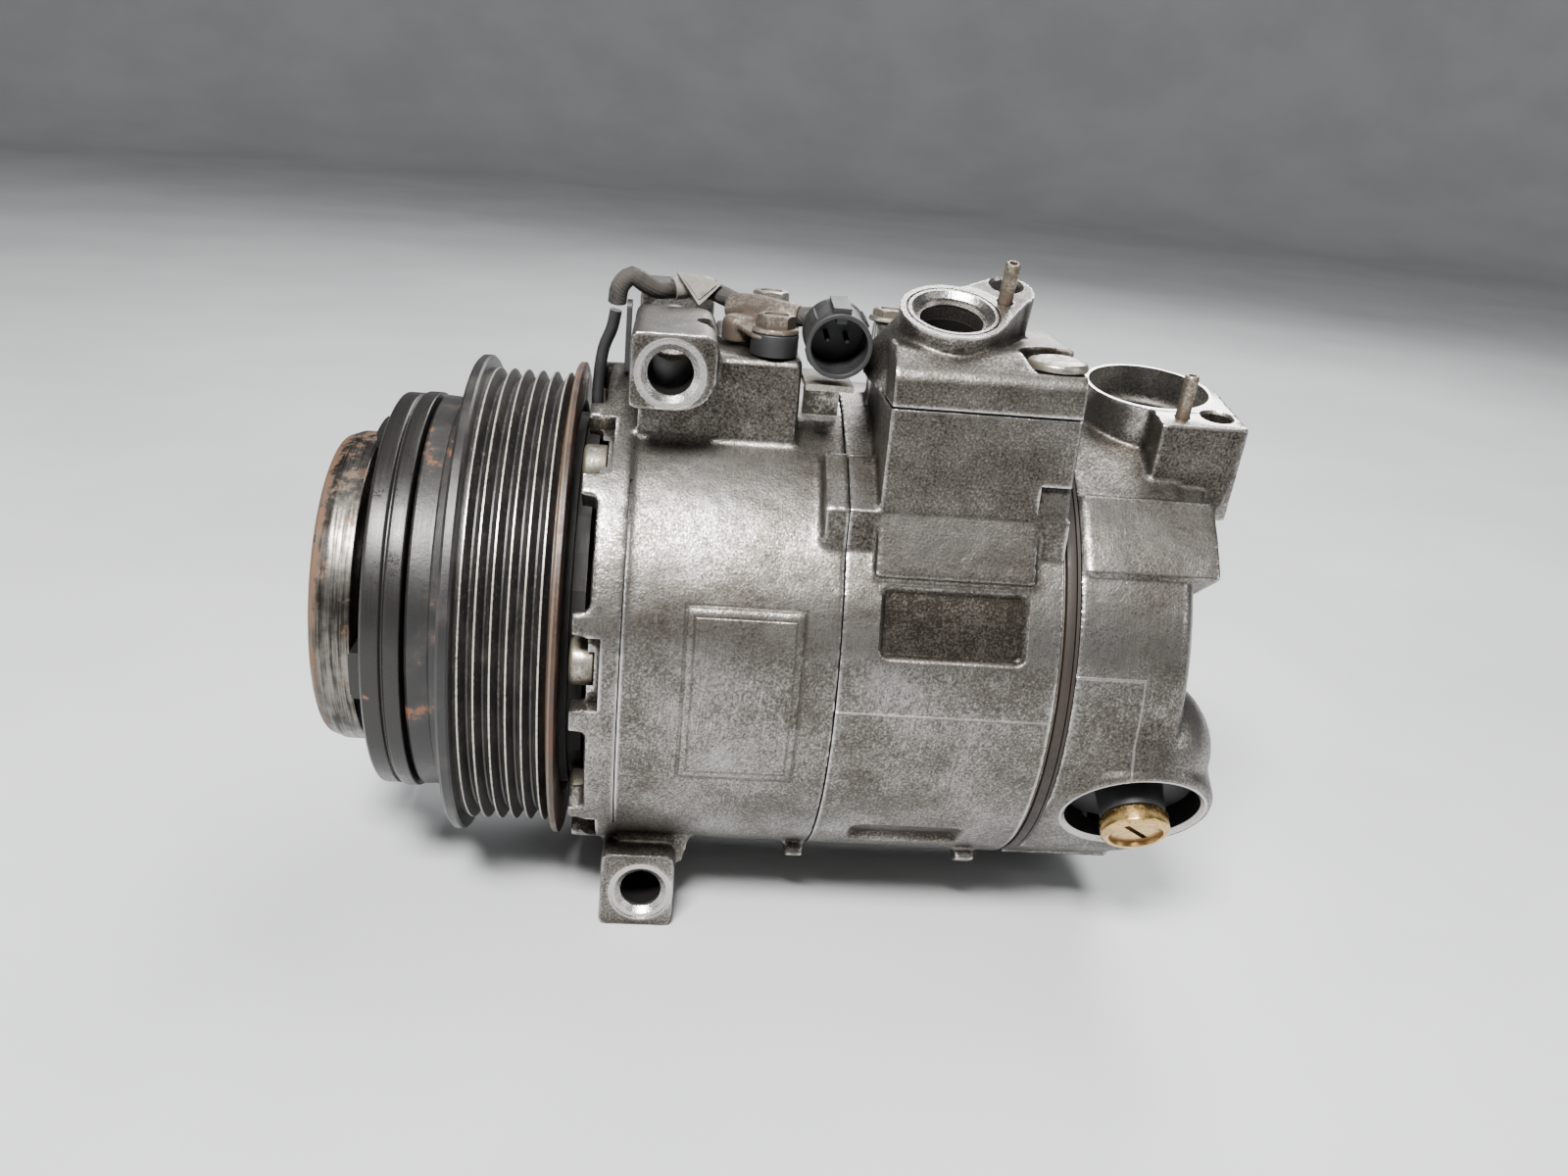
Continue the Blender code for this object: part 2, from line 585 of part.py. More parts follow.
def rear_head():
    outside = [
        (HEAD_START, 0.0),
        (HEAD_START, HEAD_RADIUS),
        (162.0, HEAD_RADIUS),
        (164.6, 59.0),
        (165.8, 56.5),
        (HEAD_END, 50.0),
        (HEAD_END, 0.0),
    ]
    head = turned("rear_head", outside, "cast_aluminium", segments=ROUND, bored=False)
    join(head, sector("side_band", (140.1, 171.4), (40.0, 61.4), (32.3, 51.0), steps=4))
    join(head, sector("upper_wall", (150.0, 170.6), (30.0, 59.4), (40.7, 140.0), steps=12))
    face = leaning_frame(SUCTION_PORT, SUCTION_LEAN)
    join(head, rod("suction_tower", 15.8, -30.0, 0.0, frame=face, segments=32))
    corners = [(-3.9, -25.0, 1.0), (17.6, -25.0, 1.5), (17.6, 4.0, 6.0), (-2.0, 4.0, 0)]
    join(head, extruded("suction_block", rounded(corners), -24.0, -0.15, frame=face))
    brace = [(157.3, 26.3), (172.0, 26.3), (172.9, 35.0), (176.6, 48.0), (177.6, 58.0), (157.3, 58.0)]
    join(head, across_prism("suction_brace", brace, -35.0, 12.0))
    join(head, shaft_rod("top_boss", 4.2, (139.2, 151.6), (-23.5, 57.4), segments=16))
    join(head, sector("head_foot", (140.0, 170.0), (50.0, 63.0), (-112.0, -72.0), steps=6))
    valve = valve_frame()
    valve_boss = [(0.0, 0.0), (0.0, 18.5), (-1.5, 19.4), (-60.0, 19.4), (-60.0, 0.0)]
    join(head, turned("valve_boss", valve_boss, frame=valve, segments=32, bored=False))
    join(head, rod("valve_lug", 4.6, -9.0, 0.6, frame=shifted(valve, 3.0, -18.2), segments=14))

    inner = [(138.0, 0.0), (138.0, 26.0), (154.0, 26.0), (155.5, 24.0), (155.5, 0.0)]
    cut(head, turned("inner_chamber", inner, segments=24, bored=False))
    outer = [(138.0, 30.5), (138.0, 47.0), (154.0, 47.0), (154.0, 30.5)]
    cut(head, turned("outer_chamber", outer, segments=32))
    cut(head, *bolt_hole_cutters("head_bolt_hole", (138.0, 157.5)))
    cut(head, rod("suction_bore", SUCTION_BORE, -28.0, 2.0, frame=face, segments=32))
    cut(head, rod("suction_thread", 3.6, -14.0, 2.0, frame=shifted(face, 11.8, -17.6), segments=16))
    cut(head, rod("suction_pin_hole", 2.0, -5.0, 2.0, frame=pin_frame(1), segments=12))
    cut(head, rod("valve_mouth", VALVE_BORE, -12.0, 2.0, frame=valve, segments=32))
    cut(head, rod("valve_bore", 12.5, -46.0, -10.0, frame=valve, segments=28))
    slot = sector("band_slot", (139.4, 141.2), (60.6, 64.0), (33.5, 49.0), steps=3)
    cut(head, slot)


def joint_plates():
    """The seal between housing and block, and the plates between block and head."""
    ring = [(84.3, 56.6), (84.3, 58.6), (82.7, 58.6), (82.7, 56.6)]
    turned("front_joint_seal", ring, "rubber", segments=ROUND)
    outlet, inlet = (35.0, 2.8), (44.0, 3.2)
    specs = (
        ("suction_reed_plate", 134.7, 135.2, 60.2, (outlet,)),
        ("valve_plate", 135.5, 137.7, 60.5, (outlet, inlet)),
    )
    for name, start, end, radius, ports in specs:
        profile = [(end, 6.0), (end, radius), (start, radius), (start, 6.0)]
        plate = turned(name, profile, "bare_steel", segments=ROUND)
        cut(plate, *bolt_hole_cutters(name + "_hole", (130.0, 145.0)))
        for circle, port_radius in ports:
            for i, angle in enumerate(piston_angles()):
                at = polar(circle, angle)
                cut(plate, shaft_rod(f"{name}_{circle}_{i}", port_radius, (130.0, 145.0), at, segments=6))
    profile = [(138.7, 47.6), (138.7, 60.3), (138.0, 60.3), (138.0, 47.6)]
    gasket = turned("rear_joint_gasket", profile, "gasket", segments=ROUND)
    cut(gasket, *bolt_hole_cutters("gasket_bolt_hole", (130.0, 145.0)))


def through_bolts():
    profile = [(155.0, 0.0), (155.0, 2.5), (29.8, 2.9), (29.8, 5.5), (24.5, 5.5), (24.0, 4.9)]
    profile += [(24.0, 2.6), (27.0, 2.6), (27.0, 0.0)]
    for i, angle in enumerate(bolt_angles()):
        frame = frame_at((0, *polar(BOLT_CIRCLE, angle)), x_axis=(0, 0, -1), z_axis=(1, 0, 0))
        turned(f"through_bolt_{i + 1}", profile, "zinc_steel", frame, 10, bored=False)


def control_valve():
    frame = valve_frame()
    body = [(-6.3, 0.0), (-6.3, 11.0), (-8.0, 12.0), (-40.0, 12.0), (-44.0, 8.0), (-44.0, 0.0)]
    turned("control_valve_body", body, "black_steel", frame, 20, bored=False)
    adjuster = [(6.0, 0.0), (6.0, 7.4), (5.2, 8.3), (-0.5, 8.3), (-0.9, 7.4), (-6.0, 7.4), (-6.0, 0.0)]
    brass = turned("control_valve_adjuster", adjuster, "brass", frame, 24, bored=False)
    slot = block("adjuster_slot", (-0.7, -12.0, 4.6), (0.7, 12.0, 8.0), frame=frame @ Matrix.Rotation(-0.7, 4, "Z"))
    cut(brass, slot)
    ring = turned("control_valve_snap_ring", [(-9.6, 12.6), (-9.6, 15.9), (-10.9, 15.9), (-10.9, 12.6)],
                  "bare_steel", frame, 28)
    cut(ring, block("valve_ring_gap", (-3.0, -20.0, -13.0), (3.0, -10.0, -8.0), frame=frame))


# Clutch and pulley

def pulley_profile():
    outer = [(PULLEY_BACK, 60.9), (20.2, 60.9)]
    for rib in reversed(range(RIB_COUNT)):
        tip = rib * RIB_PITCH
        outer += [(tip + RIB_PITCH / 2, RIB_ROOT_RADIUS)]
        outer += [(tip + 0.45, RIB_TIP_RADIUS), (tip - 0.45, RIB_TIP_RADIUS)]
    flange = [(-0.9, 56.2), (-1.4, 61.0), (-4.3, 61.0), (-5.0, 50.9)]
    front = [(-7.4, 50.4), (-7.9, 49.7), (PULLEY_FRONT, 50.1)]
    hub = [(PULLEY_FRONT, 24.2), (-8.5, 24.2), (-8.5, 27.6), (13.0, 27.6), (13.0, 31.5)]
    channel = [(-7.5, 31.5), (-7.5, 49.8), (PULLEY_BACK, 51.2)]
    return outer + flange + front + hub + channel


def pulley_group():
    turned("pulley", pulley_profile(), "black_steel", segments=36)
    outer = [(12.2, 25.2), (12.2, 27.3), (-8.2, 27.3), (-8.2, 25.2)]
    turned("pulley_bearing_outer_race", outer, "bare_steel", segments=24)
    inner = [(12.2, 17.8), (12.2, 19.8), (-8.2, 19.8), (-8.2, 17.8)]
    turned("pulley_bearing_inner_race", inner, "bare_steel", segments=24)
    cage = turned("pulley_bearing_cage", [(7.0, 21.9), (7.0, 23.1), (-3.0, 23.1), (-3.0, 21.9)],
                  "bare_steel", segments=24)
    for i in range(7):
        at = polar(22.5, 360.0 / 7 * i + 7.0)
        join(cage, ball(f"bearing_ball_{i}", 2.2, frame_at((2.0, *at)), 8))
    ring = turned("bearing_snap_ring", [(-8.7, 16.7), (-8.7, 20.6), (-9.9, 20.6), (-9.9, 16.7)],
                  "bare_steel", segments=24)
    cut(ring, block("bearing_ring_gap", (-12.0, -3.0, 10.0), (-5.0, 3.0, 30.0)))


def field_coil():
    profile = [(26.8, 19.4), (26.8, 45.7), (23.5, 45.7), (23.5, 48.2), (-5.2, 48.2)]
    profile += [(-5.2, 33.5), (24.5, 33.5), (24.5, 19.4)]
    turned("field_coil", profile, "coil_copper", segments=ROUND)
    ring = turned("coil_snap_ring", [(23.8, 18.2), (23.8, 22.6), (22.6, 22.6), (22.6, 18.2)],
                  "bare_steel", segments=20)
    cut(ring, block("coil_ring_gap", (20.0, -2.5, -30.0), (26.0, 2.5, -10.0)))


SPRING_TABS = ((84.0, 44.6), (-98.0, 50.2), (-8.0, 44.6))


def clutch_hub():
    hub = [(-14.6, 8.0), (-14.6, 13.0), (-27.8, 13.0), (-27.8, 23.6), (-33.6, 23.6), (-33.6, 12.0)]
    turned("hub", hub + [(-29.8, 12.0), (-29.8, 8.0)], "rusty_steel", segments=24)
    damper = [(-28.8, 23.9), (-28.8, 35.9), (-35.0, 35.9), (-35.0, 23.9)]
    turned("hub_damper", damper, "rubber", segments=24)
    front_edge = [(-33.4 - 4.1 * math.sin(t), 35.4 + 4.2 * math.cos(t)) for t in (0.0, 0.55, 1.1, 1.5)]
    cup = [(-27.2, 39.6)] + front_edge + [(-37.2, 36.2), (-28.5, 36.2), (-28.5, 24.2), (-27.2, 24.2)]
    turned("hub_cup", cup, "rusty_steel", segments=ROUND)
    nut_frame = SHAFT_FRAME
    nut = rod("hub_nut", 7.8, -36.0, -30.1, "zinc_steel", nut_frame, 6)
    cut(nut, rod("nut_thread", 4.9, -40.0, -28.0, frame=nut_frame, segments=16))

    plate = turned("spring_plate", [(-25.6, 13.4), (-25.6, 30.0), (-26.6, 30.0), (-26.6, 13.4)],
                   "clutch_steel", segments=24)
    for i, (angle, reach) in enumerate(SPRING_TABS):
        arm = sector(f"spring_arm_{i}", (-26.7, -25.5), (20.0, reach - 0.4), (angle - 7.0, angle + 7.0), steps=2)
        stop = sector(f"spring_stop_{i}", (-26.3, -24.1), (reach - 6.0, reach), (angle - 8.0, angle + 8.0), steps=2)
        join(plate, arm, stop)
    friction_face = PULLEY_FRONT - CLUTCH_GAP
    armature = [(friction_face, 19.0), (friction_face, 50.7), (-17.5, 50.7), (-17.8, 49.7)]
    armature += [(-18.4, 49.7), (-18.7, 50.2), (-22.6, 50.2), (-23.2, 49.4), (-23.2, 19.0)]
    turned("armature_plate", armature, "clutch_steel", segments=ROUND)


# Shaft and pumping mechanism

def shaft_group():
    shaft = [(129.0, 0.0), (129.0, 7.2), (128.0, SHAFT_RADIUS), (-29.5, SHAFT_RADIUS), (-29.5, 4.6)]
    turned("drive_shaft", shaft + [(-36.6, 4.6), (-36.6, 0.0)], "bare_steel", segments=24, bored=False)
    lug = [(46.7, 8.0), (46.7, 31.0), (43.0, 31.0), (42.0, 26.0), (40.7, 26.0), (40.7, 8.0)]
    turned("lug_plate", lug, "bare_steel", segments=24)
    seal = [(6.0, 8.1), (6.0, 13.2), (-2.0, 13.2), (-2.0, 11.0), (3.0, 10.0), (-0.5, 8.1)]
    turned("shaft_seal", seal, "rubber", segments=20)
    for name, start, end in (("front_needle_bearing", 14.0, 34.0), ("rear_needle_bearing", 104.0, 124.0)):
        turned(name, [(end, 8.1), (end, 11.9), (start, 11.9), (start, 8.1)], "bare_steel", segments=20)
    cage = turned("thrust_bearing_cage", [(40.3, 15.0), (40.3, 24.0), (38.4, 24.0), (38.4, 15.0)],
                  "bare_steel", segments=24)
    for i in range(6):
        angle = 60.0 * i + 5.0
        window = sector(f"thrust_window_{i}", (37.0, 42.0), (16.5, 22.5), (angle - 6.0, angle + 6.0), steps=1)
        cut(cage, window)


def swash_plate():
    """Plate that pushes the pistons. Its parent empty stands on the axis that it tilts about."""
    radial = polar(1.0, TOP_DEAD_ANGLE)
    centre = frame_at((PLATE_STATION, 0, 0), x_axis=(0, *radial), z_axis=(1, 0, 0))
    profile = [(PLATE_HALF, 15.0), (PLATE_HALF, PLATE_RADIUS), (-PLATE_HALF, PLATE_RADIUS), (-PLATE_HALF, 15.0)]
    plate = turned("swash_plate", profile, "bare_steel", centre, ROUND)
    rim = [(4.5, 12.8), (4.5, 20.0), (-4.5, 20.0), (-4.5, 12.8)]
    join(plate, turned("plate_hub", rim, frame=centre, segments=24))
    join(plate, block("hinge_arm", (25.0, -4.2, -24.0), (30.5, 4.2, -1.0), frame=centre))
    pin = shifted(centre, 27.7, 0.0, -21.8) @ Matrix.Rotation(math.pi / 2, 4, "X")
    join(plate, rod("hinge_pin", 2.1, -8.0, 8.0, frame=pin, segments=12))
    axis = bpy.data.objects.new("tilt_axis", None)
    PARTS.objects.link(axis)
    axis.matrix_world = shifted(centre, PISTON_CIRCLE, 0.0) @ Matrix.Scale(1 / MM, 4)
    bpy.context.view_layer.update()
    plate.parent = axis
    plate.matrix_parent_inverse = axis.matrix_world.inverted()


def pistons():
    front_apex = PLATE_STATION - PLATE_HALF - SHOE_GAP
    rear_apex = PLATE_STATION + PLATE_HALF + SHOE_GAP
    skirt_start = rear_apex + SHOE_RADIUS + 0.2
    pad_end = front_apex - SHOE_RADIUS + 0.6
    pad_start = pad_end - 3.2
    for i, angle in enumerate(piston_angles()):
        radial = polar(1.0, angle)
        middle = tuple(PISTON_CIRCLE * part for part in radial)
        frame = frame_at((0, *middle), x_axis=(0, *radial), z_axis=(1, 0, 0))
        name = f"piston_{i + 1}"
        piston = rod(name, PISTON_RADIUS, skirt_start, BLOCK_END - 0.6, "bare_steel", frame, 18)
        bridge = block(name + "_bridge", (8.0, -7.0, pad_start), (13.3, 7.0, skirt_start + 2.0), frame=frame)
        pad = block(name + "_pad", (-6.2, -6.0, pad_start), (9.0, 6.0, pad_end), frame=frame)
        join(piston, bridge, pad)
        join(piston, ball(name + "_front_shoe", SHOE_RADIUS, shifted(frame, 0, 0, front_apex - SHOE_RADIUS), 8))
        join(piston, ball(name + "_rear_shoe", SHOE_RADIUS, shifted(frame, 0, 0, rear_apex + SHOE_RADIUS), 8))
        trim = block(name + "_trim", (-20.0, -20.0, pad_start - 8.0), (20.0, 20.0, pad_start), frame=frame)
        cut(piston, trim)


# Wiring on top of the housing

COIL_LEAD_ROUTE = [
    (25.6, 0.0, 49.0),
    (25.4, 0.0, 54.0),
    (25.6, 0.5, 60.0),
    (26.4, 0.5, 66.0),
    (28.2, 0.0, 71.0),
    (29.0, -0.5, 75.5),
]
HARNESS_ROUTE = [
    (29.2, -0.5, 77.5),
    (29.8, -1.5, 81.5),
    (32.5, -1.6, 84.2),
    (35.4, -0.6, 82.6),
    (38.5, 1.0, 81.0),
    (43.0, 4.0, 81.0),
    (49.0, 7.0, 82.4),
    (56.0, 5.5, 81.6),
    (62.0, -1.0, 81.2),
    (68.0, -9.5, 81.4),
    (74.0, -13.0, 81.0),
    (79.2, -15.5, 80.4),
    (79.4, -19.6, 79.6),
]
CONNECTOR_FACE = (79.8, -40.0, 77.4)
CONNECTOR_RISE = 6.0
CLAMP_BOLTS = ((66.4, -26.0), (67.3, 12.0))


def wiring_connector():
    turn = math.radians(CONNECTOR_RISE)
    frame = frame_at(CONNECTOR_FACE, z_axis=(0, -math.cos(turn), -math.sin(turn)))
    shell = [(-12.0, 0.0), (-12.0, 6.3), (0.0, 6.3), (0.0, 7.4), (-14.0, 7.4), (-15.0, 6.0), (-19.8, 5.0), (-19.8, 0.0)]
    connector = turned("wiring_connector", shell, "black_plastic", frame, 24, bored=False)
    join(connector, block("connector_key", (-2.0, 6.6, -12.0), (2.0, 8.6, -1.0), frame=frame))
    floor = [(-38.0, 67.0), (-20.0, 67.0), (-20.0, 68.4), (-38.0, 68.4)]
    clip = along_prism("connector_clip", floor, 73.4, 84.2, "zinc_steel")
    leg = [(-21.4, 57.9), (-20.0, 57.9), (-20.0, 67.6), (-21.4, 67.6)]
    join(clip, along_prism("connector_clip_leg", leg, 74.6, 83.0))


def wiring():
    tube("coil_lead", COIL_LEAD_ROUTE, 1.5, "black_plastic", 5.0)
    tube("wiring_harness", HARNESS_ROUTE, 2.4, "sleeve", 5.0)
    outline = [(58.0, -12.0), (61.0, -31.0), (71.4, -31.0), (72.6, 17.6), (62.0, 17.6), (58.0, 6.0)]
    clamp = extruded("harness_clamp", outline, 75.9, 77.0, "zinc_steel")
    join(clamp, rod("clamp_fold", 5.0, 72.6, 78.2, frame=frame_at((59.2, -15.0, 0)), segments=16))
    for name, (station, across) in zip(("clamp_bolt_front", "clamp_bolt_rear"), CLAMP_BOLTS):
        frame = frame_at((station, across, 0))
        cut(clamp, rod(name + "_hole", 3.2, 70.0, 80.0, frame=frame, segments=12))
        bolt = rod(name, 2.6, 65.0, 78.0, "zinc_steel", frame, 12)
        join(bolt, rod(name + "_flange", 5.6, 77.3, 78.3, frame=frame, segments=16))
        join(bolt, rod(name + "_hex", 4.6, 78.0, 81.4, frame=frame, segments=6))
    front = frame_at((*CLAMP_BOLTS[0], 0))
    spacer = rod("clamp_spacer", 5.2, 72.3, 75.6, "black_plastic", front, 20)
    cut(spacer, rod("spacer_hole", 3.0, 70.0, 80.0, frame=front, segments=12))
    bracket = block("lead_bracket", (31.9, -9.0, 62.2), (33.1, -3.2, 79.0), "black_steel")
    join(bracket, block("bracket_foot", (31.9, -9.0, 62.2), (34.2, 4.0, 63.4)))
    curve = smooth_route(HARNESS_ROUTE, 5.0)
    wrap = len(curve) // 2 - 1
    ahead = curve[wrap + 1] - curve[wrap - 1]
    collar = frame_at(tuple(curve[wrap]), x_axis=Vector((0, 0, 1)).cross(ahead), z_axis=ahead)
    tape = turned("cable_tape", [(1.5, 3.5), (1.5, 4.3), (-1.5, 4.3), (-1.5, 3.5)], "tape", collar, 14)
    join(tape, block("tape_flag", (-4.9, -6.0, -4.2), (-4.1, 1.6, 4.2), frame=collar))


def bake(collection):
    """Apply each part's modifiers, then shade its round faces smooth."""
    bpy.context.view_layer.update()
    graph = bpy.context.evaluated_depsgraph_get()
    baked = {}
    for thing in [thing for thing in collection.objects if thing.type == "MESH"]:
        baked[thing] = bpy.data.meshes.new_from_object(thing.evaluated_get(graph))
    for thing, mesh in baked.items():
        thing.modifiers.clear()
        thing.data = mesh
        mesh.shade_smooth()
        mesh.set_sharp_from_angle(angle=math.radians(32))


front_housing()
cylinder_block()
muffler_cover()
port_pins()
rear_head()
joint_plates()
through_bolts()
control_valve()
pulley_group()
field_coil()
clutch_hub()
shaft_group()
swash_plate()
pistons()
wiring_connector()
wiring()
bake(PARTS)
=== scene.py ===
"""Looks of a car's air-conditioning compressor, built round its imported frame.

Lengths are millimetres from the shaft axis, as (station, across, up): the station runs along the shaft
from the pulley's first rib. Angles about the shaft start at the side of the mounting pads and rise
towards +Z.
"""

import math

import bpy
import numpy as np
from mathutils import Matrix, Vector, noise


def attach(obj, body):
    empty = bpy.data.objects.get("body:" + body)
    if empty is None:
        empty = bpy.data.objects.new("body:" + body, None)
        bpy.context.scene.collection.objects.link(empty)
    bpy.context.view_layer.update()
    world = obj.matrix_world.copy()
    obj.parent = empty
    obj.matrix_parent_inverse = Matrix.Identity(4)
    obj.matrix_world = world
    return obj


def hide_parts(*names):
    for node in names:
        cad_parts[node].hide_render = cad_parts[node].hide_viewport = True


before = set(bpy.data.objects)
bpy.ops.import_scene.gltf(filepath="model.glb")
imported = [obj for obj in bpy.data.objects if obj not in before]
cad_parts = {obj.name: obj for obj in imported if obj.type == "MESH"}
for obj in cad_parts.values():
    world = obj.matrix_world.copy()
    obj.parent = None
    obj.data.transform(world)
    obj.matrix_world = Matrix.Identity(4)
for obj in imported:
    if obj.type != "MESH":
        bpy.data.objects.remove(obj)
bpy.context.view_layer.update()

MM = 0.001
FOOT = -70.6
CENTRE = np.array((71.5, -0.57, FOOT))

BODY_RADIUS = 60.6
BOLT_PITCH = 360.0 / 7
BOLT_ANGLES = [4.8 + BOLT_PITCH * i for i in range(7)]
BORE_ANGLES = [angle + BOLT_PITCH / 2 for angle in BOLT_ANGLES]
BOLT_CIRCLE = 52.0
BOLT_HOLE = 3.3
EAR_STATION = 43.2
EAR_HEIGHTS = (69.5, -60.9)
PAD_FACE = -44.0
FAR_FACE = 46.0
COVER_BOLTS = ((128.6, -41.0), (94.3, -13.0))
CLAMP_BOLTS = ((66.4, -26.0), (67.3, 12.0))


# Stations of the joints between the castings, and height of the cover's seam
HOUSING_REAR = 84.4
BLOCK_FRONT = 84.7
BLOCK_REAR = 134.4
HEAD_FRONT = 139.0
WALL_TOP = 66.7
COVER_FOOT = 67.3


# Frames: an origin and three axes, in millimetres

def unit(vector):
    return np.array(vector, float) / np.linalg.norm(vector)


def frame_at(origin=(0, 0, 0), z=(0, 0, 1), x=(1, 0, 0)):
    normal = unit(z)
    ahead = unit(np.array(x, float) - np.dot(x, normal) * normal)
    return np.array(origin, float), np.array((ahead, np.cross(normal, ahead), normal))


def shifted(frame_, x, y, z=0.0):
    origin, axes = frame_
    return origin + np.array((x, y, z)) @ axes, axes


def spun(frame_, angle):
    origin, axes = frame_
    c, s = math.cos(angle), math.sin(angle)
    return origin, np.array(((c, s, 0), (-s, c, 0), (0, 0, 1))) @ axes


def polar(radius, angle):
    turn = math.radians(angle)
    return -radius * math.cos(turn), radius * math.sin(turn)


def leaning(origin, lean):
    """Frame on a port's face, whose normal leans towards the mounting pads."""
    turn = math.radians(lean)
    return frame_at(origin, z=(0, -math.sin(turn), math.cos(turn)))


def upright(station, across):
    return frame_at((station, across, 0))


WORLD = frame_at()
SHAFT = frame_at(z=(1, 0, 0), x=(0, 0, -1))
SIDEWAYS = frame_at(z=(0, -1, 0))
LENGTHWAYS = frame_at(z=(1, 0, 0), x=(0, 1, 0))
DISCHARGE = leaning((105.0, -35.0, 86.5), 20.0)
SUCTION = leaning((161.0, -10.0, 68.3), 9.0)
VALVE = frame_at((161.1, -52.0, -28.0), z=(0, *polar(1.0, -36.0)))
EAR_AXES = [frame_at((EAR_STATION, 0, up), z=(0, 1, 0)) for up in EAR_HEIGHTS]
DISCHARGE_PIN = shifted(DISCHARGE, 12.6, 6.2)
SUCTION_PIN = shifted(SUCTION, 2.8, -19.0)
DISCHARGE_HOLE = shifted(DISCHARGE, 14.2, 14.5)
SUCTION_HOLE = shifted(SUCTION, 11.8, -17.6)


def along_shaft(radius, angle):
    """Frame along the shaft at a point round it."""
    return frame_at((0, *polar(radius, angle)), z=(1, 0, 0), x=(0, 0, -1))


# Solids: vertices and faces in millimetres, closed and facing out

def arc(centre, radius, start, end, steps=12):
    turns = np.radians(np.linspace(start, end, steps + 1))
    return [(centre[0] + radius * math.cos(t), centre[1] + radius * math.sin(t)) for t in turns]


def rounded(corners, steps=8):
    """Outline through corners (x, y, radius), each rounded by its radius."""
    outline = []
    for i, (x, y, radius) in enumerate(corners):
        if radius == 0:
            outline.append((x, y))
            continue
        here = Vector((x, y))
        before = (Vector(corners[i - 1][:2]) - here).normalized()
        after = (Vector(corners[(i + 1) % len(corners)][:2]) - here).normalized()
        half = before.angle(after) / 2
        middle = here + (before + after).normalized() * radius / math.sin(half)
        first = here + before * radius / math.tan(half) - middle
        last = here + after * radius / math.tan(half) - middle
        sweep = first.angle_signed(last)
        for step in range(steps + 1):
            spoke = first.copy()
            spoke.rotate(Matrix.Rotation(-sweep * step / steps, 2))
            outline.append(tuple(middle + spoke))
    return outline


def area_of(points):
    return sum(a[0] * b[1] - b[0] * a[1] for a, b in zip(points, points[1:] + points[:1])) / 2


def lathe(profile, at=SHAFT, segments=96):
    """Solid turned about its frame's Z from (height, radius) points."""
    ring = [(radius, height) for height, radius in profile]
    if area_of(ring) < 0:
        ring.reverse()
    turns = np.linspace(0, 2 * math.pi, segments, endpoint=False)
    verts, rows = [], []
    for radius, height in ring:
        rows.append((len(verts), radius > 1e-9))
        if radius > 1e-9:
            verts += [(radius * math.cos(t), radius * math.sin(t), height) for t in turns]
        else:
            verts.append((0.0, 0.0, height))
    faces = []
    for (low, low_open), (high, high_open) in zip(rows, rows[1:] + rows[:1]):
        if not low_open and not high_open:
            continue
        for j in range(segments):
            k = (j + 1) % segments
            corners = [low + j, low + k] if low_open else [low]
            corners += [high + k, high + j] if high_open else [high]
            faces.append(tuple(corners))
    return at[0] + np.array(verts) @ at[1], faces


def extruded(outline, low, high, at=WORLD):
    points = list(outline)
    if area_of(points) < 0:
        points.reverse()
    count = len(points)
    verts = [(x, y, low) for x, y in points] + [(x, y, high) for x, y in points]
    faces = [tuple(range(count))[::-1], tuple(range(count, 2 * count))]
    faces += [(i, (i + 1) % count, count + (i + 1) % count, count + i) for i in range(count)]
    return at[0] + np.array(verts, float) @ at[1], faces


def block(low, high, at=WORLD):
    outline = [(low[0], low[1]), (high[0], low[1]), (high[0], high[1]), (low[0], high[1])]
    return extruded(outline, low[2], high[2], at)


def turned(corners, steps=3, at=SHAFT, segments=96):
    """Solid turned about its frame's Z from rounded (height, radius, rounding) corners."""
    return lathe(rounded(corners, steps), at, segments)


def across_prism(outline, start, end):
    """Outline in (station, up), drawn across the shaft."""
    return extruded(outline, -end, -start, SIDEWAYS)


def along_prism(outline, start, end):
    """Outline in (across, up), drawn along the shaft."""
    return extruded(outline, start, end, LENGTHWAYS)


def sector(stations, radii, angles, steps=24):
    """Curved block about the shaft."""
    outline = []
    for radius, (start, end) in zip(radii, (angles, angles[::-1])):
        outline += [polar(radius, start + (end - start) * i / steps) for i in range(steps + 1)]
    return along_prism(outline, *stations)


def rod(radius, low, high, at=WORLD, segments=48, end_radius=None, soft=0.0):
    """Cylinder or cone on its frame's Z, with its far edge rounded by soft."""
    far = radius if end_radius is None else end_radius
    return turned([(low, 0, 0), (low, radius, 0), (high, far, soft), (high, 0, 0)], 5, at, segments)


def rods_about(radius, low, high, segments=24, circle=BOLT_CIRCLE, angles=BOLT_ANGLES):
    """Rods along the shaft, spread on a circle about it."""
    return [rod(radius, low, high, along_shaft(circle, angle), segments) for angle in angles]


def ball(radius, at, segments=24):
    return lathe(arc((0, 0), radius, 0, 180, segments // 2), at, segments)


def hexagon(across_flats, low, high, at, crown=0.5):
    """Hexagon head, and the dome that turns its top corners off where the two are intersected."""
    corner = across_flats / math.sqrt(3)
    body = extruded(arc((0, 0), corner, 0, 300, 5), low, high, at)
    dome = [(low - 0.1, 0), (low - 0.1, corner + 1), (high - crown, corner + 0.05)]
    dome += [(high, across_flats / 2 - 0.1), (high, 0)]
    return body, lathe(dome, at, 48)


